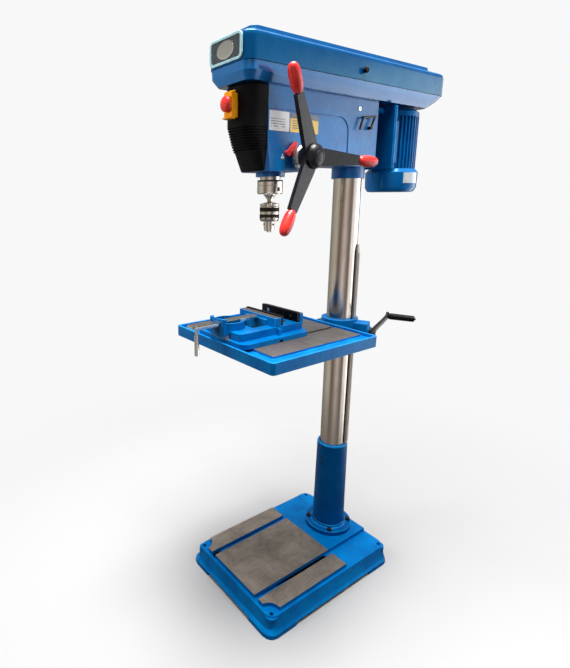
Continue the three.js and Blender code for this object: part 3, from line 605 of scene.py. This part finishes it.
def tube(rings, bore):
    """The same as a loft, with a round bore of the given radius all the way through."""

    def circle(outline):
        return [(bore * x / math.hypot(x, y), bore * y / math.hypot(x, y)) for x, y in outline]

    loops = [*rings, (circle(rings[-1][0]), rings[-1][1]), (circle(rings[0][0]), rings[0][1])]
    count = len(loops[0][0])
    points = [(x, y, z) for outline, z in loops for x, y in outline]
    faces = []
    for k in range(len(loops)):
        a, b = k * count, (k + 1) % len(loops) * count
        for i in range(count):
            j = (i + 1) % count
            faces.append([a + i, a + j, b + j, b + i])
    return points, faces


def prism(outline, low, high):
    return loft([(outline, low), (outline, high)])


def frame_ring(outer, inner, low, high):
    """A flat ring between two outlines with equally many points."""
    count = len(outer)
    points = [(x, y, z) for z in (low, high) for loop in (outer, inner) for x, y in loop]
    faces = []
    for i in range(count):
        j = (i + 1) % count
        for a, b in ((0, 1), (1, 3), (3, 2), (2, 0)):
            faces.append([a * count + i, a * count + j, b * count + j, b * count + i])
    return points, faces


def placed(shape, matrix):
    points, faces = shape
    return [tuple(matrix @ Vector(p)) for p in points], faces


def all_placed(shapes, matrix):
    return [placed(shape, matrix) for shape in shapes]


def turned(axis, degrees):
    return Matrix.Rotation(math.radians(degrees), 4, axis)


ALONG_X = turned("Y", 90)  # +Z becomes +X
ALONG_Y = turned("X", -90)  # +Z becomes +Y
FORWARD = turned("X", 90)  # +Z becomes -Y, the operator's side


def hex_bolt(across, height, washer_r, washer):
    """A chamfered hexagon head on its washer, which stands on z = 0."""
    r = across / math.sqrt(3)
    top = washer + height
    head = lathe([(0, washer), (r, washer), (r, top - 0.18 * r), (r * 0.84, top), (0, top)], 6)
    return [head, lathe([(0, 0), (washer_r, 0), (washer_r, washer), (0, washer)], 32)]


def socket_screw(r, height):
    """A cap screw head with a hexagon socket, standing on z = 0."""
    key = r * 0.5
    outer = [(r * math.cos(a), r * math.sin(a)) for a in (2 * math.pi * i / 36 for i in range(36))]
    hexagon = []
    for x, y in outer:
        a = math.atan2(y, x) % (math.pi / 3) - math.pi / 6
        reach = key * math.cos(math.pi / 6) / math.cos(a) / r
        hexagon.append((x * reach, y * reach))
    ring = frame_ring(outer, hexagon, 0, height)
    floor = prism(hexagon, 0, height * 0.4)
    return [ring, floor]


# ---------------- pieces
def smooth_group():
    """Geometry nodes that keep an edge sharp where its faces meet at more than a limit."""
    group = bpy.data.node_groups.new("smooth_by_angle", "GeometryNodeTree")
    group.interface.new_socket("Geometry", in_out="INPUT", socket_type="NodeSocketGeometry")
    group.interface.new_socket("Geometry", in_out="OUTPUT", socket_type="NodeSocketGeometry")
    nodes, links = group.nodes, group.links
    start, end = nodes.new("NodeGroupInput"), nodes.new("NodeGroupOutput")
    angle = nodes.new("GeometryNodeInputMeshEdgeAngle")
    compare = nodes.new("FunctionNodeCompare")
    compare.operation = "LESS_THAN"
    compare.inputs["B"].default_value = math.radians(SMOOTH_LIMIT)
    edges = nodes.new("GeometryNodeSetShadeSmooth")
    edges.domain = "EDGE"
    links.new(angle.outputs["Unsigned Angle"], compare.inputs["A"])
    links.new(start.outputs[0], edges.inputs["Geometry"])
    links.new(compare.outputs[0], edges.inputs["Shade Smooth"])
    links.new(edges.outputs[0], end.inputs[0])
    return group


SMOOTH_LIMIT = 38  # degrees between two faces, past which their edge stays sharp
BEVEL_LIMIT = 34  # degrees between two faces, past which their edge is rounded
SMOOTH = smooth_group()


def round_off(obj, width, segments=2, edge_material=None):
    """Rounds the sharp edges and shades the rest smooth. edge_material is a slot number."""
    if width:
        bevel = obj.modifiers.new("bevel", "BEVEL")
        bevel.width, bevel.segments = width * MM, segments
        bevel.limit_method, bevel.angle_limit = "ANGLE", math.radians(BEVEL_LIMIT)
        bevel.miter_outer = "MITER_ARC"
        if edge_material is not None:
            bevel.material = edge_material
    obj.modifiers.new("smooth", "NODES").node_group = SMOOTH
    weighted = obj.modifiers.new("weighted", "WEIGHTED_NORMAL")
    weighted.keep_sharp = True


def dress(node, material, bevel, segments=2, edge=None):
    """Gives a CAD node its finish and its rounded edges; its own mesh stays as it is."""
    obj = NODES[node]
    obj.data.materials.clear()
    obj.data.materials.append(material)
    if edge is not None:
        obj.data.materials.append(edge)
    obj.data.polygons.foreach_set("use_smooth", [True] * len(obj.data.polygons))
    weld = obj.modifiers.new("weld", "WELD")
    weld.merge_threshold = 1e-5
    flat = obj.modifiers.new("flat", "DECIMATE")
    flat.decimate_type, flat.angle_limit = "DISSOLVE", math.radians(1)
    round_off(obj, bevel, segments, None if edge is None else 1)


def solid(name, shapes, material, body, stands_for=(), bevel=0.0, segments=2):
    """Makes one piece of closed shapes, and lets it ride on a body."""
    build = bmesh.new()
    for points, faces in shapes:
        corners = [build.verts.new(in_frame(p)) for p in points]
        for face in faces:
            build.faces.new([corners[i] for i in face])
    bmesh.ops.recalc_face_normals(build, faces=build.faces)
    mesh = bpy.data.meshes.new(name)
    build.to_mesh(mesh)
    build.free()
    mesh.polygons.foreach_set("use_smooth", [True] * len(mesh.polygons))
    mesh.materials.append(material)
    obj = bpy.data.objects.new(name, mesh)
    bpy.context.scene.collection.objects.link(obj)
    round_off(obj, bevel, segments)
    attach(obj, body)
    if stands_for:
        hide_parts(*stands_for)


make_camera()
make_studio()

# ---------------- finishes
PAD_Z = span("base")[1].z
TABLE_TOP = span("table")[1].z - 3.5
VISE_LOW, VISE_HIGH = span("vise_body")
VISE_X = middle("vise_bar").x
base_bare = [((None, None, PAD_Z - 0.4), (None, -122, None))]
slots = [((x - 13, -500, TABLE_TOP - 23), (x + 13, -118, TABLE_TOP + 1)) for x in (-80, 80)]
table_bare = [((-190.5, -496.5, TABLE_TOP - 1.6), (190.5, -125.5, TABLE_TOP + 0.5)), *slots]
vise_bare = [
    ((None, -300, VISE_HIGH.z - 8.8), (None, None, None)),
    ((VISE_X - 52.5, -440.5, 943), (VISE_X + 52.5, -299, 969)),
    ((VISE_X - 46, -540, 943.5), (VISE_X + 46, -448, 946)),
]
base_finish = blue_cast("base_enamel", 0.8, base_bare)
table_finish = blue_cast("table_enamel", 0.8, table_bare)
vise_finish = blue_cast("vise_enamel", 0.7, vise_bare)
jaw_finish = blue_cast("jaw_enamel", 0.7, [((None, None, VISE_HIGH.z - 9.8), (None, None, None))])
# Bevelled edges get lighter blue: painted highlight, partly wear.
base_edge = edge_highlight("base_edge", [((None, None, PAD_Z - 4), (None, -118, None))])
table_edge = edge_highlight("table_edge", table_bare)
edge_blue = edge_highlight("edge_enamel")
cast_finish = blue_cast("cast_enamel", 1.0)
# The sleeve's enamel is darkened towards deep blue: painted shade, since its side is in shadow.
sleeve_shaded_finish = blue_cast("sleeve_enamel", 1.0, deep=0.6)
head_finish = blue_cast("head_enamel", 1.5, coat=1.0, haze=0.34)
sheet_finish = blue_sheet("sheet_enamel", 0.8)
lid_finish = blue_sheet("lid_enamel", 0.1, (0.1, 0.85, 0.9, 1), ("00447a", "00528c"))
motor_finish = blue_cast("motor_enamel", 0.6, coat=0.15, deep=0.25)
fan_finish = blue_sheet("fan_enamel", 0.15)
black_finish = black_enamel("black_enamel")
dull_black = moulded("black_plastic", "100f11", "070607", 0.5, 0.12, 0.1)
red_finish = moulded("red_plastic", "fb3f36", "e02a28", 0.28)
yellow_finish = moulded("yellow_plastic", "ffb00e", "ffa006", 0.4, gloss=0.3)
green_finish = moulded("green_plastic", "1d9a48", "12783a", 0.35)
bright_steel = steel("bright_steel", "c8c4bd", 0.2, "z", 0.2)
plain_steel = steel("plain_steel", "a8a299", 0.34)
shaft_steel = steel("shaft_steel", "b5b0a8", 0.28, "x")
chuck_steel = steel("chuck_steel", "d8cfc2", 0.2, "z", 0.2)
knurl_steel = steel("knurl_steel", "2c2826", 0.42, None, 0.2, False)
jaw_steel = steel("jaw_steel", "1c1b1d", 0.42, "y", 0.1, False)
rubber = belt_rubber()
pulley_metal = aluminium()

# ---------------- CAD nodes that stay
dress("base", base_finish, 4.0, 3, base_edge)
dress("column_sleeve", sleeve_shaded_finish, 1.6, 2, edge_blue)
dress("column", column_steel(), 1.0)
dress("table_bracket", cast_finish, 2.5, 2, edge_blue)
dress("table", table_finish, 2.0, 2, table_edge)
dress("tilt_bolt", plain_steel, 0.8)
dress("vise_body", vise_finish, 2.0, 2, edge_blue)
dress("vise_moving_jaw", jaw_finish, 1.6, 2, edge_blue)
dress("vise_fixed_plate", jaw_steel, 0.8)
dress("vise_moving_plate", jaw_steel, 0.8)
dress("vise_bar", bright_steel, 0.8)
dress("vise_handle", bright_steel, 1.0)
dress("head_casting", head_finish, 3.5, 3)
dress("belt_pan", sheet_finish, 1.0)
dress("belt_lid", lid_finish, 1.6, 3)
dress("motor_plate", motor_finish, 1.5, 2, edge_blue)
dress("motor_housing", motor_finish, 0.6)
dress("fan_cover", fan_finish, 1.2)
dress("motor_fan", dull_black, 0.5)
for node in ("bracket_clamp_lever", "crank_arm", "spring_cap", "tension_lever"):
    dress(node, black_finish, 1.0)
for number in (1, 2, 3):
    dress(f"feed_arm_{number}", black_finish, 3.0, 3)
    dress(f"chuck_jaw_{number}", plain_steel, 0.4)
dress("crank_grip", dull_black, 1.0)
dress("quill", bright_steel, 0.6)
dress("spindle", bright_steel, 0.5)
dress("spindle_bearing", plain_steel, 0.5)
dress("idler_post", plain_steel, 0.5)
dress("feed_shaft", shaft_steel, 0.5)
dress("quill_lock_lever", red_finish, 1.2)
for node in ("spindle_pulley", "idler_pulley", "motor_pulley"):
    dress(node, pulley_metal, 0.5)
for node in ("belt_front", "belt_rear"):
    dress(node, rubber, 0.8)
dress("switch_base", yellow_finish, 1.2)
dress("switch_flap", yellow_finish, 1.6, 3)
dress("start_button", green_finish, 0.6)
dress("stop_button", red_finish, 0.6)


# ---------------- base, column and table lift
def make_flange_bolts():
    """Four hexagon bolts that hold the sleeve's flange to the base."""
    flange = span("column_sleeve")[0].z + 17.2
    for number in range(4):
        a = math.radians(45 + 90 * number)
        spot = Matrix.Translation((76 * math.cos(a), 76 * math.sin(a), flange))
        shapes = all_placed(hex_bolt(15, 8, 10, 1.8), spot)
        solid(f"flange_bolt_{number + 1}", shapes, black_finish, "root", bevel=0.5)


def make_set_screws():
    """Two screws in the front of the sleeve that hold the column."""
    top = span("column_sleeve")[1].z
    for number, drop in enumerate((53, 78)):
        spot = Matrix.Translation((0, -52.5, top - drop)) @ FORWARD
        shapes = all_placed(socket_screw(5.5, 4.5), spot)
        solid(f"sleeve_screw_{number + 1}", shapes, black_finish, "root", bevel=0.3)


RACK = {"turn": 24.0, "pitch": 2 * math.pi, "root": 53.6, "half": 8.0, "bar_half": 11.0}


def make_rack():
    """A toothed strip on a bar that hugs the column, with a tapered upper end."""
    low, high = span("rack")[0].z, span("rack")[1].z
    inner, tip = 46.8, 56.9
    start, end = low + 8, high - 30
    profile = [(inner, start)]
    for i in range(int((end - start) / RACK["pitch"])):
        z = start + i * RACK["pitch"]
        for share, r in ((0.1, RACK["root"]), (0.27, tip), (0.6, tip), (0.77, RACK["root"])):
            profile.append((r, z + share * RACK["pitch"]))
    profile += [(RACK["root"], end), (inner, end)]
    upright = Matrix(((1, 0, 0, 0), (0, 0, -1, 0), (0, 1, 0, 0), (0, 0, 0, 1)))
    toothed = placed(prism(profile, -RACK["half"], RACK["half"]), upright)
    half = RACK["bar_half"]
    section = [(inner, -half), (RACK["root"] - 1.2, -half), (RACK["root"], -half + 1.2)]
    section += [(x, -y) for x, y in reversed(section)]
    bar = prism(section, low, high - 22)
    cap = loft([(section, high - 22), ([(x - 1.5, y * 0.35) for x, y in section], high - 0.3)])
    cap = ([(max(x, inner), y, z) for x, y, z in cap[0]], cap[1])
    shapes = all_placed((toothed, bar, cap), turned("Z", RACK["turn"]))
    solid("rack_bar", shapes, plain_steel, "table_swing", ("rack",), 0.3, 1)


def make_crank_spindle():
    """The crank's round shaft and its collar, on the side of the bracket that has the rack."""
    profile = [(0, 62.3), (8.2, 62.3), (8.85, 63), (8.85, 108.3), (14.2, 108.3), (14.85, 109)]
    profile += [(14.85, 115.3), (14.2, 116), (0, 116)]
    place = turned("Z", RACK["turn"]) @ Matrix.Translation((0, 0, middle("crank_shaft").z)) @ ALONG_X
    shape = placed(lathe(profile, 48), place)
    solid("crank_spindle", [shape], black_finish, "crank", ("crank_shaft",))


# ---------------- nose, switch and badge
def make_nose():
    """Black cover with moulded ribs below the switch, and a narrow chin run in to the quill."""
    low, high = span("nose_cover")
    back = high.y
    stations = [  # height, half width, front
        (low.z, 50, -425), (1477, 57, -456), (1479, 57.5, -463), (1502, 61, -472),
        (1540, 61, -486), (high.z, 61, -487),
    ]

    def station(z):
        for (z0, *a), (z1, *b) in zip(stations, stations[1:]):
            if z <= z1:
                share = (z - z0) / (z1 - z0)
                return [u + (v - u) * share for u, v in zip(a, b)]
        return stations[-1][1:]

    def ring(z, inset):
        side, front = station(z)
        half = side - 0.4 * inset
        depth = back - front - inset
        outline = [(1, 0), (1, 0.44), (0.93, 0.63), (0.84, 0.76), (0.72, 0.865), (0.58, 0.94)]
        outline += [(0.44, 0.98), (0.26, 1.0)]
        right = [(half * u, back - depth * v) for u, v in outline]
        return right + [(-x, y) for x, y in reversed(right)], z

    rings = [ring(low.z + 0.3, 1.5), ring(low.z + 2.5, 0), ring(1476.6, 0), ring(1479.2, 0)]
    rib_low, rib_high, ribs = 1480, 1543, 9
    pitch = (rib_high - rib_low) / ribs
    for i in range(ribs):
        z = rib_low + i * pitch
        rings += [ring(z, 0), ring(z + 0.18 * pitch, 4.2), ring(z + 0.42 * pitch, 4.2)]
        rings += [ring(z + 0.55 * pitch, 0)]
    rings += [ring(rib_high + 1, 0), ring(high.z - 3, 0), ring(high.z - 0.4, 2.2)]
    solid("nose_shell", [loft(rings)], dull_black, "root", ("nose_cover",), 1.2, 2)


def make_badge():
    """Pale raised frame round a dark panel with a plain bright oval."""
    low, high = span("badge")
    front = (low.x + high.x) / 2, high.y, (low.z + high.z) / 2
    spot = Matrix.Translation(front) @ FORWARD
    w, h = (high.x - low.x) / 2, (high.z - low.z) / 2
    frame_color = moulded("badge_frame", "bfe0e6", "9ccdd6", 0.2, 0.02)
    panel_color = moulded("badge_panel", "4a5257", "343a40", 0.16, 0.02)
    bright = steel("badge_oval", "dcdcd8", 0.12, None, 0.1)
    outer = round_rect(-w, w, -h, h, 14)
    inner = round_rect(-w + 8, w - 8, -h + 7, h - 7, 8)
    rim = placed(frame_ring(outer, inner, 0, 4.9), spot)
    back = placed(prism([(x * 0.96, y * 0.96) for x, y in outer], 0, 2.6), spot)
    solid("badge_rim", [rim, back], frame_color, "belt_lid", ("badge",), 1.2, 3)
    panel = placed(prism([(x * 0.995, y * 0.995) for x, y in inner], 2.6, 3.5), spot)
    solid("badge_panel", [panel], panel_color, "belt_lid", (), 0.3, 2)
    plate = placed(loft([(oval(37, 22), 3.4), (oval(37, 22), 4.2), (oval(34, 19.5), 4.7)]), spot)
    solid("badge_oval", [plate], bright, "belt_lid", (), 0.3, 2)


def make_lid_knob():
    """Black knurled knob on the right flank of the belt lid."""
    low, high = span("lid_knob")
    spot = Matrix.Translation((low.x, (low.y + high.y) / 2, (low.z + high.z) / 2)) @ ALONG_X
    neck = lathe([(0, 0), (5, 0), (5, 4.5), (0, 4.5)], 32)
    head = loft(
        [
            (teeth(7.6, 8, 24), 4), (teeth(8.4, 9, 24), 5.5), (teeth(8.4, 9, 24), 11.5),
            (teeth(6.6, 7, 24), 13.7),
        ]
    )
    shapes = all_placed((neck, head), spot)
    solid("cover_knob", shapes, dull_black, "belt_lid", ("lid_knob",), 0.3)


def make_mushroom():
    """The stop button's domed cap on its stem."""
    low, high = span("stop_mushroom")
    spot = Matrix.Translation(((low.x + high.x) / 2, high.y, (low.z + high.z) / 2)) @ FORWARD
    reach = high.y - low.y
    crown = [(21 * math.cos(t), reach - 10 + 10 * math.sin(t)) for t in (0.1, 0.4, 0.7, 1.0, 1.3)]
    profile = [(0, 0), (8, 0), (8, reach - 13.4), (18.6, reach - 13.3), (20.6, reach - 11.6)]
    profile += crown + [(0, reach)]
    shapes = [placed(lathe(profile, 56), spot)]
    solid("mushroom_cap", shapes, red_finish, "stop_mushroom", ("stop_mushroom",))


# ---------------- spindle and chuck
def on_spindle(shape):
    axis = middle("quill")
    return placed(shape, Matrix.Translation((axis.x, axis.y, 0)))


def make_quill_collar():
    """Bright stepped ring at the foot of the quill, with its seal and clamp lug."""
    low, high = span("quill_collar")
    z0, z1 = low.z, high.z
    profile = [
        (30.6, z0), (35.2, z0), (36, z0 + 0.8), (36.6, z0 + 2.4), (37.9, z0 + 3.4),
        (37.9, z0 + 24), (37.1, z0 + 24.6), (37.1, z0 + 26.2), (37.9, z0 + 26.8), (37.9, z1 - 5),
        (36.6, z1 - 3.6), (36.2, z1), (30.6, z1),
    ]
    shapes = [on_spindle(lathe(profile, 72))]
    solid("collar_ring", shapes, chuck_steel, "quill", ("quill_collar",), 0.25)
    band = lathe([(36.4, z1 - 3.4), (37.6, z1 - 3.4), (37.6, z1 - 0.6), (36.4, z1 - 0.6)], 72)
    solid("collar_seal", [on_spindle(band)], rubber, "quill", (), 0.2)
    clamp = placed(
        prism(round_rect(-6, 6, -4, 4, 2), 0, 3),
        Matrix.Translation((36.6, middle("quill").y, z0 + 14)) @ ALONG_X,
    )
    solid("collar_lug", [clamp], knurl_steel, "quill", (), 0.3)


def make_chuck():
    """Keyed chuck: knurled sleeve with its gear ring, and the body with three key holes, each a rim
    over a black plug that is a painted shadow of the hole's inside.
    """
    low, high = span("chuck_sleeve")
    z0, z1 = low.z, high.z
    core = [
        (21.5, z0 + 0.5), (25.6, z0 + 0.5), (28.4, z0 + 6.5), (28.9, z0 + 8), (28.4, z0 + 21.4),
        (28.0, z0 + 22.4), (28.9, z0 + 24), (28.9, z0 + 26.5), (28.0, z0 + 28), (28.4, z0 + 29),
        (28.6, z0 + 41.4), (27.2, z1), (21.5, z1),
    ]
    solid(
        "chuck_ring", [on_spindle(lathe(core, 72))], chuck_steel, "chuck_sleeve",
        ("chuck_sleeve",), 0.2,
    )
    bands = []
    for start, end in ((z0 + 9.2, z0 + 20.6), (z0 + 29.2, z0 + 41)):
        rings = [
            (teeth(28.3, 28.6, 72), start - 0.3), (teeth(28.7, 29.4, 72), start + 0.4),
            (teeth(28.7, 29.4, 72), end - 0.4), (teeth(28.3, 28.6, 72), end + 0.3),
        ]
        bands.append(tube(rings, 26))
    solid(
        "chuck_knurl", [on_spindle(b) for b in bands], knurl_steel, "chuck_sleeve",
    )
    gear = tube([(teeth(22.8, 26, 30), z0), (teeth(26, 29.3, 30), z0 + 7.4)], 21.7)
    solid("chuck_gear", [on_spindle(gear)], knurl_steel, "chuck_sleeve")

    low, high = span("chuck_body")
    z0, z1 = low.z, high.z
    body = [
        (11, z0), (13.6, z0), (14.4, z0 + 0.8), (16.4, z0 + 9), (16.5, z0 + 28), (21, z0 + 28.5),
        (21, z0 + 74.5), (27.4, z0 + 74.6), (29, z0 + 76), (29.3, z0 + 77), (29.3, z0 + 79.6),
        (28.4, z0 + 80.8), (17, z1 - 1.4), (14.8, z1), (9, z1), (9, z1 - 30), (11, z1 - 32),
    ]
    solid(
        "chuck_core", [on_spindle(lathe(body, 72))], chuck_steel, "spindle",
        ("chuck_body",), 0.25,
    )
    axis = middle("quill")
    for number in range(3):
        spot = (
            Matrix.Translation((axis.x, axis.y, z0 + 20))
            @ turned("Z", 120 * number + 4)
            @ turned("Y", 90)
        )
        rim = placed(frame_ring(oval(5, 5, 32), oval(3.9, 3.9, 32), 15.2, 16.9), spot)
        # A black plug just below each rim: painted shadow in the key hole.
        hole_shadow = placed(prism(oval(3.9, 3.9, 32), 14, 16.6), spot)
        solid(f"key_rim_{number + 1}", [rim], chuck_steel, "spindle", (), 0.2)
        solid(f"key_hole_{number + 1}", [hole_shadow], dull_black, "spindle")


# ---------------- feed
FEED = middle("depth_dial")
HUB_LOW, HUB_HIGH = span("feed_hub")


def on_feed(shape):
    """A shape about +Z, laid along the feed shaft: its z is the distance from the column's plane."""
    return placed(shape, Matrix.Translation((0, FEED.y, FEED.z)) @ ALONG_X)


def make_dial():
    """Depth dial with a chamfered, divided rim."""
    low, high = span("depth_dial")
    x0, x1, r = low.x, high.x, (high.z - low.z) / 2
    profile = [
        (12.5, x0), (r - 0.6, x0), (r, x0 + 0.6), (r, x0 + 12), (r - 0.5, x0 + 12.6),
        (r - 3, x1 - 0.8), (r - 3.6, x1), (12.5, x1),
    ]
    material = dial_face(Vector(((x0 + x1) / 2, FEED.y, FEED.z)))
    shapes = [on_feed(lathe(profile, 96))]
    solid("dial_ring", shapes, material, "feed", ("depth_dial",), 0.2)


def make_hub():
    """Black domed hub of the feed wheel, with a ring groove round its flat end."""
    x0, x1 = HUB_LOW.x, HUB_HIGH.x
    profile = [(0, x0), (29, x0), (30.5, x0 + 1.2), (34, x0 + 6), (34, x0 + 37)]
    profile += [(31 + 3 * math.cos(t), x0 + 37 + 3 * math.sin(t)) for t in (0.5, 1.0, 1.5)]
    profile += [(27, x1 - 8), (20, x1 - 3.6), (15.5, x1 - 1.9), (15, x1 - 2.8), (13.4, x1 - 2.8)]
    profile += [(12.8, x1 - 1.3), (7, x1 - 0.3), (0, x1)]
    cap = lathe(profile, 72)
    solid("hub_dome", [on_feed(cap)], black_finish, "feed", ("feed_hub",), 0.3)


GRIP = {"start": 176.0, "end": 252.0}
ARM_ANGLES = (118, -2, 238)
ARM_CONE = 7.0


def arm_place(angle):
    """Where an arm's own frame, with +Z along it, sits on the hub."""
    return (
        Matrix.Translation((HUB_LOW.x + 22, FEED.y, FEED.z))
        @ turned("X", angle - 90)
        @ turned("Y", ARM_CONE)
    )


def make_grips():
    """Three red drop-shaped grips on the ends of the feed arms."""
    start, end = GRIP["start"], GRIP["end"]
    profile = [
        (0, start), (9.4, start), (11, start + 1.2), (12.4, start + 4.5), (14.2, start + 9),
        (15.8, start + 18), (16.8, start + 30), (16.9, start + 42), (16.3, start + 54),
        (14.8, start + 63), (12.2, start + 69.5), (8.4, start + 74), (4, end - 0.4), (0, end),
    ]
    for number, angle in enumerate(ARM_ANGLES):
        shapes = [placed(lathe(profile, 48), arm_place(angle))]
        name = f"feed_grip_{number + 1}"
        solid(f"knob_{number + 1}", shapes, red_finish, "feed", (name,))


# ---------------- labels, plugs and screws
def make_labels():
    """Generic stickers on the head's right flank."""
    side = 62.0
    data, caution = ((-414, 1532), (-339, 1584)), ((-335, 1532), (-221, 1583))

    def sticker(name, low, high, material, slot):
        outline = round_rect(low[0], high[0], low[1], high[1], 2.5, 4)
        upright = Matrix(((0, 0, 1, side), (1, 0, 0, 0), (0, 1, 0, 0), (0, 0, 0, 1)))
        solid(name, [placed(prism(outline, -0.5, 0.45), upright)], material, "root")

    white = printed_label("label_white", "f4f4f6", "8b8f96", *data, 8)
    yellow = printed_label("label_yellow", "f2c21c", "4a4030", *caution, 8, header="2a2a2e")
    plain = printed_label("label_small", "f1f1ee", "9a9a9a", (-372, 1453), (-349, 1475), 3)
    sticker("label_data", *data, white, "badge_plate")
    sticker("label_caution", *caution, yellow, "yellow_plastic")
    corner = Matrix.Translation((side, -360.5, 1462)) @ ALONG_X @ turned("Z", 180)
    triangle = [(9.5 * math.cos(a), 9.5 * math.sin(a)) for a in (0, 2.094, 4.189)]
    solid("label_small", [placed(prism(triangle, -0.5, 0.45), corner)], plain, "root")


def make_head_screws():
    """Plugs and screws in the head's right flank."""
    side = 61.8
    spots = {"head_plug": (-38, 1620, 6.5), "quill_stop_screw": (-300, 1605, 4.5)}
    for name, (y, z, r) in spots.items():
        spot = Matrix.Translation((side, y, z)) @ ALONG_X
        shapes = all_placed(socket_screw(r, 2.6), spot)
        solid(name, shapes, bright_steel, "root", bevel=0.3)


def make_vise_details():
    """Screws of the jaw plates, and the two bosses on the vise's flanks."""
    plate = middle("vise_fixed_plate")
    jaws = {
        "fixed": ("table_tilt", span("vise_fixed_plate")[0].y + 1.2, FORWARD),
        "moving": ("vise_slide", span("vise_moving_plate")[1].y - 1.2, ALONG_Y),
    }
    for number, side in enumerate((-52, 52)):
        for jaw, (body, y, way) in jaws.items():
            spot = Matrix.Translation((plate.x + side, y, plate.z)) @ way
            name = f"{jaw}_jaw_screw_{number + 1}"
            shapes = all_placed(socket_screw(5.5, 1.5), spot)
            solid(name, shapes, bright_steel, body, bevel=0.2)
    for number, side in enumerate((-1, 1)):
        outline = round_rect(-8.5, 8.5, -7, 7, 4, 5)
        foot = Matrix.Translation((VISE_X + side * 94, -372, VISE_LOW.z + 13))
        rise = placed(loft([(outline, 0), ([(u * 0.8, v * 0.8) for u, v in outline], 21)]), foot)
        name = f"vise_boss_{number + 1}"
        solid(name, [rise], vise_finish, "table_tilt", bevel=1.5)


def make_motor_label():
    """Plain bright rating plate on the fan cover."""
    center = middle("fan_cover")
    low, high = span("fan_cover")
    plate = []
    for z in (low.z + 30, high.z - 14):
        outline = arc((center.x, center.y), 90.4, -28, 14, 12)
        inner = arc((center.x, center.y), 89.2, 14, -28, 12)
        plate.append((outline + inner, z))
    material = printed_label(
        "rating_plate", "b9c4cc", "6f7a82", (-60, low.z + 26), (60, high.z - 10), 5
    )
    solid("rating_plate", [loft(plate)], material, "motor_slide")


make_flange_bolts()
make_set_screws()
make_rack()
make_crank_spindle()
make_nose()
make_badge()
make_lid_knob()
make_mushroom()
make_quill_collar()
make_chuck()
make_dial()
make_hub()
make_grips()
make_labels()
make_head_screws()
make_vise_details()
make_motor_label()
